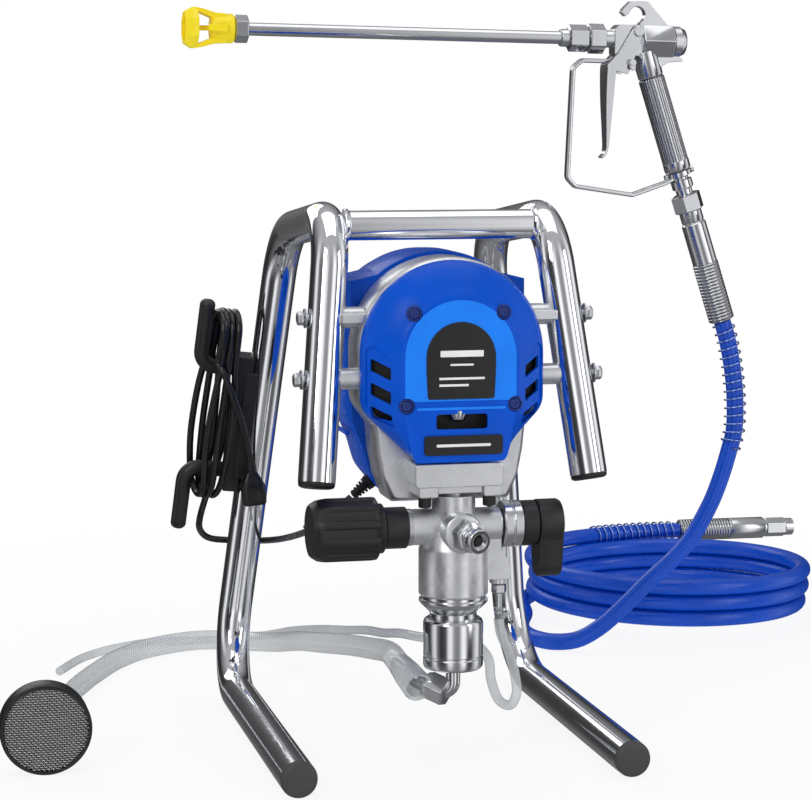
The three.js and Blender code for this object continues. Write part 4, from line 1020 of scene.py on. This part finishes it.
def make_cover():
    outer = Shape().loft([at_y(cover_ring(inset, blend), y) for y, inset, blend in COVER_PROFILE])
    cover = piece("cover_shell", outer, BLUE, replaces="front_cover", bevel=0.7, parts=3, angle=38)
    inner = Shape().loft([at_y(cover_ring(inset + 3, blend), y + 2.6) for y, inset, blend in COVER_PROFILE])
    tools = [(inner, WORK)] + screw_wells(33.6)
    slot = Shape().plate(soft_outline([(-20, 283), (22, 283), (22, 295), (-20, 295)], 3), 20, 44)
    tools.append((slot, WORK))
    for side in (-1, 1):
        m = Matrix.Translation((side * 62.3, 43, 0)) @ Matrix.Rotation(side * 0.707, 4, "Z")
        recess = [(-13.5, 284), (9, 291), (13, 297), (13, 346), (6, 349), (-13.5, 338)]
        tools.append((vent_tool(recess, side, -7, 1.0, m, 3), WORK))
        for z in (331, 312, 293.5):
            window = [(-9, z - 9.5), (9.5, z - 2), (9.5, z + 8), (-9, z + 0.5)]
            tools.append((vent_tool(window, side, -8, 8, m, 1.4), WORK))
    subtract(cover, *tools)
    # painted shade: a black band inside the cover, behind the side vents, stands in for the shade in the
    # hollow seen through them
    painted_shade_band = Shape().loft([at_y(cover_ring(8, 0.35), 43), at_y(cover_ring(7, 1), 57)])
    piece("cover_painted_shade", painted_shade_band, RUBBER_AND_PAINTED_SHADE, bevel=0)
    make_cover_panel()
    make_cover_screws()
    make_badge()
    make_oil_cap()


def make_cover_panel():
    top = soft_arch(45.2, COVER_CENTRE, [(45.2, 305.5), (0.5, 305.5)], (2.5, 0.2))
    panel = Shape().loft([at_y(top, 31), at_y(top, 29.5)])
    raised = piece("cover_panel", panel, BLUE_PANEL, bevel=0.5, parts=3)
    subtract(raised, *screw_wells(34))
    band = soft_outline([(-36, 298.4), (37, 298.4), (36, 300.6), (-35, 300.6)], 0.8)
    piece("cover_rib", Shape().plate(band, 29.6, 31), BLUE_PANEL, bevel=0.3)


def make_cover_screws():
    screws = Shape()
    for x, z in COVER_SCREWS:
        m = aim(BACK, (x, 0, z))
        screws.turned([(0, 31.4), (1.9, 31.4), (1.9, 30.6), (3.5, 30.6), (4.2, 31.2), (4.2, 33.8),
                       (0, 33.8)], 32, m)
        screws.turned([(4.6, 30.9), (5.8, 30.9), (6.2, 31.3), (6.2, 33.6), (4.6, 33.6)], 40, m, loop=True)
    piece("cover_screws", screws, SCREW_BLUE, bevel=0.2)


def make_badge():
    """A blank badge and strip, with plain bars in place of wording."""
    crown = soft_arch(28.2, 339.8, [(28.2, 330), (27, 307), (0.5, 307)], (2, 2.5, 0.2))
    piece("badge_plate", Shape().loft([at_y(crown, 29.7), at_y(crown, 28.9)]), BADGE, bevel=0.25)
    marks = Shape()
    for x0, x1, z0, z1 in ((-17, 18, 340.5, 345.5), (-9, 10, 333.5, 335), (-18, 19, 322.5, 324.3),
                           (-18, 6, 317.2, 319)):
        marks.plate(soft_outline([(x0, z0), (x1, z0), (x1, z1), (x0, z1)], 0.7), 28.75, 28.95)
    marks.plate(soft_outline([(-20, 269.2), (24, 269.2), (24, 271.4), (-20, 271.4)], 0.8), 28.55, 28.75)
    piece("badge_marks", marks, PRINT, bevel=0)
    label = soft_outline([(-30, 262.5), (34, 262.5), (34, 278), (-30, 278)], 3)
    piece("label_plate", Shape().plate(label, 28.7, 30.6), BADGE, bevel=0.3)


def make_oil_cap():
    m = Matrix.Translation((-1, 38, 294.5))
    stem = Shape().turned([(0, -7), (3, -6.4), (6.4, -4.2), (8, 0), (8, 3), (0, 3)], 40, m)
    piece("slot_oil_cap", stem, PUMP_CHROME, bevel=0.2)


def shroud_ring(inset, scale=1.0):
    half = [(73, 396), (73, 282), (62, 256), (57, 236), (46, 223)]
    points = [(x - inset, z + (inset if z < 240 else 0)) for x, z in half]
    top = arc(0, 342, 78 - inset, 50, 130, 30)
    left = soft_side([(-x, z) for x, z in points])
    ring = top + left + [(-x, z) for x, z in reversed(left)]
    return [(x * scale, 335 + (z - 335) * scale) for x, z in ring]


def soft_side(points):
    """A run of points with its inner corners rounded."""
    chain = [Vector(p) for p in points]
    result = [points[0]]
    for before, here, after in zip(chain, chain[1:], chain[2:]):
        result += corner_curve(before, here, after, min(9, room(before, here, after, 0.45)), 5)
    return result + [points[-1]]


def make_shroud():
    y0 = CASE_BACK + 0.4
    levels = ((y0, 0.6, 1), (y0 + 2, 0, 1), (150, 0, 1), (180, 0.4, 0.985), (205, 1.5, 0.95), (218, 3, 0.88),
              (224, 4, 0.83), (225.9, 5, 0.79))
    shape = Shape().loft([at_y(shroud_ring(inset, scale), y) for y, inset, scale in levels])
    shroud = piece("motor_cover", shape, BLUE, replaces="motor_shroud", bevel=0.8, parts=3, angle=40)
    tools = []
    hollow = ((y0 + 3, 3, 1), (150, 3, 1), (205, 5, 0.95), (221, 7, 0.84))
    tools.append((Shape().loft([at_y(shroud_ring(i, s), y) for y, i, s in hollow]), WORK))
    for x in (-36, -24, -12, 0, 12, 24, 36):
        slit = soft_outline([(x - 2.6, 322), (x + 2.6, 322), (x + 2.6, 378), (x - 2.6, 378)], 2.4)
        tools.append((Shape().plate(slit, 205, 240), WORK))
    rocker_hole = Shape().box(66, 80, 163.6, 188.4, 339.6, 356.4)
    subtract(shroud, *tools, (rocker_hole, WORK))


def make_shroud_ribs():
    ribs = Shape()
    for z in (300, 284, 268):
        for side in (-1, 1):
            x0, x1 = sorted((side * 70.4, side * 73.2))
            ribs.box(x0, x1, 124, 196, z, z + 3.2)
    piece("motor_cover_ribs", ribs, BLUE, bevel=0.6)


def make_switch():
    frame_ring = Shape()
    outline = soft_outline([(163, 339), (189, 339), (189, 357), (163, 357)], 3)
    hole = soft_outline([(165.4, 341.2), (186.6, 341.2), (186.6, 354.8), (165.4, 354.8)], 1.5)
    frame_ring.loft([[(72.6, y, z) for y, z in outline], [(74.6, y, z) for y, z in outline],
                     [(74.6, y, z) for y, z in hole], [(72.6, y, z) for y, z in hole]], cap=False)
    piece("switch_bezel", frame_ring, CHARCOAL, bevel=0.2)
    rocker = Shape()
    side_view = [(66, 344), (72.4, 342), (75.2, 343), (73.8, 348), (75.2, 353), (72.4, 354), (66, 352)]
    rocker.plate(side_view, 165.6, 186.4)
    piece("switch_rocker", rocker, CHARCOAL, body="rocker", replaces="power_switch", bevel=0.5)


def make_gland():
    gland = [(0, -6), (6.4, -6), (6.4, 0.6), (6.4, 3.4)]
    for n in range(5):
        r = 5.9 - n * 0.45
        gland += [(r, 4 + n * 3.1), (r, 5.9 + n * 3.1), (3.4, 6.1 + n * 3.1), (3.4, 6.9 + n * 3.1)]
    piece("gland_sleeve", Shape().turned(gland + [(0, 20)], 36, aim(GLAND_AXIS, GLAND_AT)), RUBBER_AND_PAINTED_SHADE,
          replaces="cord_gland", bevel=0.2)


# ---------------------------------------------------------------- pump
def make_pump():
    shape = Shape()
    shape.turned([(0, 146.4), (26.6, 146.4), (28, 147.6), (28, 183), (27.4, 186), (25, 191), (21, 200),
                  (18.6, 208), (17.5, 213), (17.5, 227.6), (0, 227.6)], 72, PUMP)
    for r, direction, reach in ((14.5, LEFT, 37.5), (14, RIGHT, 38.2)):
        shape.turned([(0, 0), (r, 0), (r, reach - 1), (r - 0.8, reach), (0, reach)], 56,
                     PUMP @ aim(direction, (0, 0, KNOB_Z)))
    shape.turned([(0, 0), (16, 0), (16, 28), (15.4, 30), (13.8, 31), (0, 31)], 56,
                 PUMP @ aim(FRONT, (1, 0, 200)))
    relief = soft_outline([(14, 158), (45.6, 158), (45.6, 170), (38, 183), (38, 196), (14, 196)], 3)
    shape.plate(relief, -9, 9, PUMP)
    shape.rod(7.6, 153.8, 159, 40, PUMP @ Matrix.Translation((38, 0, 0)))
    web = soft_outline([(-27, 170), (-12, 170), (-12, 196), (-20, 196)], 2)
    shape.plate(web, -8, 8, PUMP)
    piece("pump_casting", shape, CAST, replaces="pump_body", bevel=0.9, parts=3)
    make_outlet()
    make_suction_end()
    make_elbow()
    make_sensor()
    make_knob()
    make_prime_valve()
    make_drain_barb()


def make_outlet():
    m = aim(Vector((0.3, -0.94, -0.12)), (2, PUMP_Y - 29, 199.5))
    shape = Shape().hexagon(24, 0.2, 11, m)
    shape.turned([(0, 10.5), (9.6, 10.5), (9.6, 12), (8, 12.6), (8, 13.4), (0, 13.4)], 48, m)
    shape.hexagon(17, 13, 16.4, m)
    shape.turned([(3.6, 12), (8.2, 16), (8.2, 17), (10, 17.4), (10, 22), (9.4, 22.9), (6.4, 22.9),
                  (5.4, 21.8), (3.6, 20)], 56, m, loop=True)
    thread = []
    for n in range(4):
        thread += [(9.5, 17.5 + n * 1.1), (10.05, 18.0 + n * 1.1)]
    shape.turned([(6, 17)] + thread + [(6, 22)], 56, m, loop=True)
    piece("outlet_nipple", shape, PUMP_CHROME, replaces="outlet_fitting", bevel=0.35)
    # painted shade: a black disc deep in the nipple's bore stands in for the shade inside the hole
    piece("outlet_bore_painted_shade", Shape().rod(3.5, 19, 21, 32, m), RUBBER_AND_PAINTED_SHADE, bevel=0)


def make_suction_end():
    seat = [(0, 127), (19, 127), (19, 132), (22, 135), (27.4, 140.4), (27.8, 141.4), (27.8, 143.2),
            (25.6, 143.5), (25.6, 146.2), (0, 146.2)]
    piece("inlet_taper", Shape().turned(seat, 72, PUMP), PUMP_CHROME, replaces="suction_valve_seat",
          bevel=0.35)
    nut = [(7, 86), (21.4, 86), (23.6, 87.2), (24.3, 89.4), (24.3, 95), (23.7, 95.6), (23.7, 97),
           (24.3, 97.6), (24.3, 123.6), (23.4, 126), (21.6, 127.4), (19.4, 127.4), (19.4, 126.4), (7, 126.4)]
    shape = Shape().turned(nut, 72, PUMP, loop=True)
    body = piece("inlet_coupling", shape, PUMP_CHROME, body="inlet_nut", replaces="suction_nut", bevel=0.4)
    flats = [(Shape().box(x - 4.5, x + 4.5, 24, 84, 98, 116), WORK) for x in (-27, 27)]
    subtract(body, *flats)


def make_elbow():
    path = rounded_path([(0, PUMP_Y, 96), (0, PUMP_Y, 60.5), (-17, PUMP_Y + 10, 70)], (0, 9, 0), 14)
    elbow = Shape().swept(path, circle(6, 40))
    elbow.rod(14.6, 90.4, 97, 48, PUMP)
    direction = Vector((-0.72, 0.62, 0.3)).normalized()
    m = aim(direction, Vector((-17, PUMP_Y + 10, 70)) - direction * 24)
    elbow.hexagon(21, 7, 27, m)
    elbow.turned([(0, 26), (7.2, 26), (7.4, 31.5), (6.6, 34), (7.2, 36), (6.2, 40), (0, 40)], 48, m)
    piece("inlet_elbow", elbow, PUMP_CHROME, replaces="suction_elbow", bevel=0.35)


def make_sensor():
    m = aim(LEFT, (-37.9, PUMP_Y, KNOB_Z))
    sensor = [(0, 0), (13.6, 0), (13.8, 0.8), (13.8, 1.3), (16.2, 1.6), (16.7, 2.4), (16.7, 19.4),
              (16, 20.2), (0, 20.2)]
    piece("sensor_body", Shape().turned(sensor, 56, m), CHARCOAL, replaces="pressure_sensor", bevel=0.3)
    ring = Shape().pipe(14.9, 13.2, -2.4, 1.2, 56, m)
    piece("sensor_ring", ring, PUMP_CHROME, bevel=0.25)


def make_knob():
    m = aim(LEFT, (-58.5, PUMP_Y, KNOB_Z))
    turns = [2 * pi * n / KNOB_SPOTS for n in range(KNOB_SPOTS)]
    outline = [(a, max(0.0, cos(a * KNOB_LOBES)) ** 0.5) for a in turns]
    knob = Shape()
    rings = []
    levels = ((0, 19.2, 0), (0.8, 20, 0), (4.6, 20, 0), (5.4, 23.6, 0), (6.4, 25.2, 0.2), (9, 25.7, 2.4),
              (46, 25.7, 2.4), (51, 25.0, 1.0), (54, 24.2, 0.2), (58, 21.6, 0), (59.4, 20.2, 0))
    for z, r, depth in levels:
        spots = [(a, r - depth * (1 - wave)) for a, wave in outline]
        rings.append([(reach * cos(a), reach * sin(a), z) for a, reach in spots])
    knob.loft(rings, m)
    knob.box(-0.9, 0.9, 13, 22.4, 58.6, 59.9, m)
    piece("knob_grip", knob, CHARCOAL, body="knob", replaces="pressure_knob", bevel=0.35, angle=28)


def make_prime_valve():
    m = aim(RIGHT, (38.7, PUMP_Y, KNOB_Z))
    collar = [(0, 0.2), (18, 0.2), (18.8, 1), (18.8, 7), (18.2, 7.6), (18.2, 8.4), (18.8, 9), (18.8, 15.2),
              (18, 16), (0, 16)]
    piece("prime_collar", Shape().turned(collar, 64, m), PUMP_CHROME, replaces="prime_valve_body", bevel=0.3)
    ring = [(0, 16.1), (17.6, 16.1), (18.4, 17), (18.4, 28.2), (17.6, 29), (0, 29)]
    piece("prime_ring", Shape().turned(ring, 64, m), CHARCOAL, bevel=0.3)
    m = aim(RIGHT, (68.2, PUMP_Y, KNOB_Z))
    cap = Shape().turned([(0, 0), (18.4, 0), (19, 0.8), (19, 17.4), (17.8, 19.8), (15.6, 20.4), (0, 20.4)],
                         64, m)
    lever = arc(0, KNOB_Z - 33, 11, 180, 360, 20)
    lever = [(y, z) for y, z in lever] + [(15, KNOB_Z - 8), (-15, KNOB_Z - 8)]
    cap.loft([[(x, PUMP_Y + y * s, KNOB_Z - 20 + (z - KNOB_Z + 20) * s) for y, z in lever]
              for x, s in ((68.4, 0.95), (69.6, 1), (87, 1), (88.4, 0.95))])
    piece("prime_lever_arm", cap, CHARCOAL, body="prime_lever", replaces="prime_handle", bevel=0.8, parts=3)


def make_drain_barb():
    m = Matrix.Translation((38, PUMP_Y, 153.6))
    barb = Shape().hexagon(11, -8, -0.4, m)
    barb.turned([(0, -28), (2.6, -28), (3.8, -24.5), (2.9, -24), (3.8, -20), (2.9, -19.5), (3.0, -7),
                 (0, -7)], 32, m)
    piece("drain_nipple", barb, PUMP_CHROME, replaces="drain_barb", bevel=0.25)


# ---------------------------------------------------------------- gun, in its own frame
def make_gun_body():
    shape = Shape()
    block = soft_outline([(8, -15.4), (38, -15.4), (38, 13.8), (12, 13.8), (8, 9)], 3)
    shape.plate(block, -9.4, 9.4)
    ridges = [(17.3 * cos(n * pi / 3), 17.3 * sin(n * pi / 3)) for n in range(6)]
    shape.loft([[(x, y * s, z * s - 1) for y, z in soft_outline(ridges, 1.2, 3)]
                for x, s in ((35.4, 0.93), (37, 1), (66.4, 1), (68, 0.93))])
    hook_out = [(34.5, 12.5), (34, 16.5)] + arc(31.1, 23.5, 7.8, -55, 165, 22)
    hook = hook_out + [(19.6, 21.6), (15, 25.6), (17.5, 29.5), (24, 36), (33, 36.8), (42, 36), (63.2, 13.4)]
    shape.plate(hook, -4.4, 4.4)
    shape.hexagon(25, -16.6, -0.2, ALONG_X)
    shape.rod(8.2, -1, 9, 48, ALONG_X)
    shape.turned([(0, -26), (12.2, -26), (12.2, -2), (11.4, -0.4), (0, -0.4)], 56, GRIP)
    tang = [(40, -12), (72, -12), (78.6, -17.4), (78, -19.4), (64, -20.6), (58.5, -24), (55, -32), (44, -32)]
    shape.plate(soft_outline(tang, 1), -4, 4)
    piece("gun_casting", shape, GUN_CHROME, at=GUN, replaces="gun_body", bevel=0.7, parts=3)
    pin = Shape().rod(3.4, -13.6, 13.6, 32, aim(BACK, (TRIGGER_PIVOT[0], 0, TRIGGER_PIVOT[1])))
    pin.turned([(0, -15), (4.4, -15), (5, -14.2), (5, -12.6), (0, -12.6)], 32,
               aim(BACK, (TRIGGER_PIVOT[0], 0, TRIGGER_PIVOT[1])))
    piece("trigger_pin", pin, STEEL, at=GUN, bevel=0.3)
    cap = [(0, 68.2), (14.6, 68.2), (14.6, 74.6), (13.6, 76), (12, 79.4), (11, 80), (4, 80), (3.4, 79),
           (0, 79)]
    piece("gun_end_cap", Shape().turned(cap, 56, ALONG_X @ Matrix.Translation((1, 0, 0))), GUN_CHROME, at=GUN,
          replaces="gun_rear_cap", bevel=0.3)


def make_gun_grip():
    grip = [(0, 0), (11.6, 0), (12.6, 1), (12.6, 84)]
    piece("grip_knurl", Shape().turned(grip + [(0, 84)], 64, GRIP), KNURL, at=GUN, replaces="gun_grip",
          bevel=0.3)
    swivel = [(0, 83.6), (12.9, 83.6), (12.9, 91.4), (12, 93), (9.6, 94), (9.6, 99), (7.6, 100), (7.6, 102),
              (10.4, 102.6), (10.4, 110), (9.6, 111), (8, 111.6), (8, 117), (0, 117)]
    neck = Shape().turned(swivel, 56, GRIP)
    piece("grip_swivel", neck, GUN_CHROME, at=GUN, replaces="gun_swivel", bevel=0.3)
    nut = Shape().hexagon(26, 117, 134, GRIP)
    nut.turned([(0, 133.5), (11, 133.5), (11, 144), (10.4, 145), (11, 146), (12, 147), (12, 187),
                (0, 187)], 56, GRIP)
    piece("hose_gun_nut", nut, FITTING, at=GUN, replaces="hose_gun_fitting", bevel=0.35)
    crimp = Shape().turned([(0, 187), (12.2, 187), (12.5, 188), (12.5, 245), (11, 246), (0, 246)], 56, GRIP)
    piece("hose_gun_crimp", crimp, CRIMP, at=GUN, bevel=0.3)


def make_trigger():
    shape = Shape()
    cheek = [(9.4, -30), (21.5, -33), (25, -24), (35.2, 6), (34.5, 11.5), (28, 14.5), (24, 9), (12, -12),
             (1.2, -23.5), (0.7, -26), (3.4, -104), (5.8, -104)]
    for y in (-12.4, 10.4):
        shape.plate(soft_outline(cheek, 1.1, 4), y, y + 2)
    curve = [(2.0, -24), (1.7, -34), (2.2, -60), (3.9, -90), (4.2, -104), (2.4, -110), (-0.4, -112.2)]
    blade = smooth_route([(x, 0, z) for x, z in curve], 2)
    section = [(-1.1, -12.4), (1.1, -12.4), (1.1, 12.4), (-1.1, 12.4)]
    shape.swept(blade, section, up=(1, 0, 0))
    for vert in shape.bm.verts:
        vert.co.y *= 1 - TRIGGER_NARROWING * max(0.0, TRIGGER_SHOULDER_Z - vert.co.z) / TRIGGER_LENGTH
    piece("trigger_lever_plate", shape, GUN_CHROME, body="trigger_lever", at=GUN, replaces="trigger",
          bevel=0.4)


def make_trigger_lock():
    lock = Shape().rod(3.2, -18.6, -13, 28, aim(BACK, (24, 0, -22)))
    tab = soft_outline([(21.4, -19), (26.6, -19), (27, -28), (24.4, -30), (21.2, -27)], 1.6)
    lock.plate(tab, -17.6, -14.8)
    piece("trigger_lock_tab", lock, GUN_CHROME, body="lock_lever", at=GUN, replaces="trigger_lock", bevel=0.4)


def make_guard():
    corners = [(9.2, 0, -17.6), (6, 0, -20.8), (-22, 0, -20.8), (-30.2, 0, -28), (-33, 0, -132),
               (-25, 0, -140), (32.6, 0, -147.6), (65.6, 0, -135.7), (74.5, 0, -131.2)]
    path = rounded_path(corners, (0, 3, 6, 7, 7, 6, 6, 2, 0), 8)
    section = soft_outline([(-2.1, -4), (2.1, -4), (2.1, 4), (-2.1, 4)], 1.4, 3)
    shape = Shape().swept(path, section, up=(0, 0, 1))
    shape.pipe(12.6, 9.8, 94, 98, 48, GRIP)
    shape.rod(2.6, -15, 15, 24, GRIP @ Matrix.Translation((0, 0, 96)) @ Matrix.Rotation(pi / 2, 4, "Y"))
    piece("guard_strip", shape, GUN_CHROME, at=GUN, replaces="trigger_guard", bevel=0.3)


def make_wand():
    shape = Shape().rod(6, -352, -42, 40, ALONG_X)
    shape.turned([(0, -44), (7.6, -44), (8.4, -43), (8.4, -35.7), (0, -35.7)], 48, ALONG_X)
    shape.hexagon(22.5, -36, -17, ALONG_X)
    piece("wand_tube", shape, GUN_CHROME, at=GUN, replaces="wand", bevel=0.35)


def make_guard_nut():
    nut = Shape().hexagon(22.5, -355.8, -343, ALONG_X)
    nut.turned([(6.3, -343.4), (8.4, -343.4), (8.4, -338), (7.8, -337.3), (6.3, -337.3)], 48, ALONG_X,
               loop=True)
    ring = piece("guard_hex", nut, GUN_CHROME, body="guard_retainer", at=GUN, replaces="guard_nut", bevel=0.4)
    subtract(ring, (Shape().rod(6.25, -370, -330, 40, ALONG_X), GUN))


def make_tip_guard():
    shape = Shape()
    shape.turned([(0, -378), (11, -378), (13.5, -374), (13.5, -358), (12.4, -356.2), (0, -356.2)], 56,
                 ALONG_X)
    flare = [(13, -402.4), (15.8, -402.6), (20.4, -395), (19, -390), (14.4, -390.6)]
    shape.turned(flare, 8, ALONG_X @ Matrix.Rotation(pi / 8, 4, "Z"), loop=True)
    for up in (-1, 1):
        arm = [(-396, 14.5 * up), (-394, 18.8 * up), (-386, 17.5 * up), (-374, 14 * up), (-364, 13.4 * up),
               (-364, 8 * up), (-377, 9 * up), (-389, 14 * up)]
        shape.plate(arm, -9, 9)
    shape.rod(2.4, -391, -377, 24, ALONG_X)
    piece("spray_guard", shape, YELLOW, body="guard", at=GUN, replaces="tip_guard", bevel=0.8, parts=3)


def make_spray_tip():
    tip = Shape().rod(5.9, -15, 14, 36, aim(BACK, (-368, 0, 0)))
    key = soft_outline([(-382, -3), (-364, -3.6), (-364, 3.6), (-382, 3)], 1.5)
    tip.plate(key, -19, -14)
    piece("tip_key", tip, YELLOW, body="tip", at=GUN, replaces="spray_tip", bevel=0.5)


# ---------------------------------------------------------------- CAD nodes that stay
def dress_frame_nodes():
    """The hidden inner pieces keep their CAD shape and get a real finish."""
    steel = ("idler_gear", "crank_gear", "motor_stator", "bearing_front", "bearing_rear", "inlet_ball")
    finishes = dict.fromkeys(steel, GEAR_STEEL)
    finishes.update(armature=COPPER, cooling_fan=CHARCOAL, piston_yoke=PUMP_CHROME, pump_packing=RUBBER_AND_PAINTED_SHADE,
                    needle=GUN_CHROME)
    for node, finish in finishes.items():
        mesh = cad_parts[node].data
        mesh.materials.clear()
        mesh.materials.append(finish)


make_camera()
make_world()
make_floor()
make_lights()
make_paint_hose()
make_mains_cord()
make_suction_tube()
make_return_tube()
for side, label in ((-1, "left"), (1, "right")):
    make_side_frame(side, label)
    make_leg_bolts(side, label)
make_crossbar()
make_bracket()
make_housing()
make_pump_bolts()
make_cover()
make_shroud()
make_shroud_ribs()
make_switch()
make_gland()
make_pump()
make_gun_body()
make_gun_grip()
make_trigger()
make_trigger_lock()
make_guard()
make_wand()
make_guard_nut()
make_tip_guard()
make_spray_tip()
dress_frame_nodes()
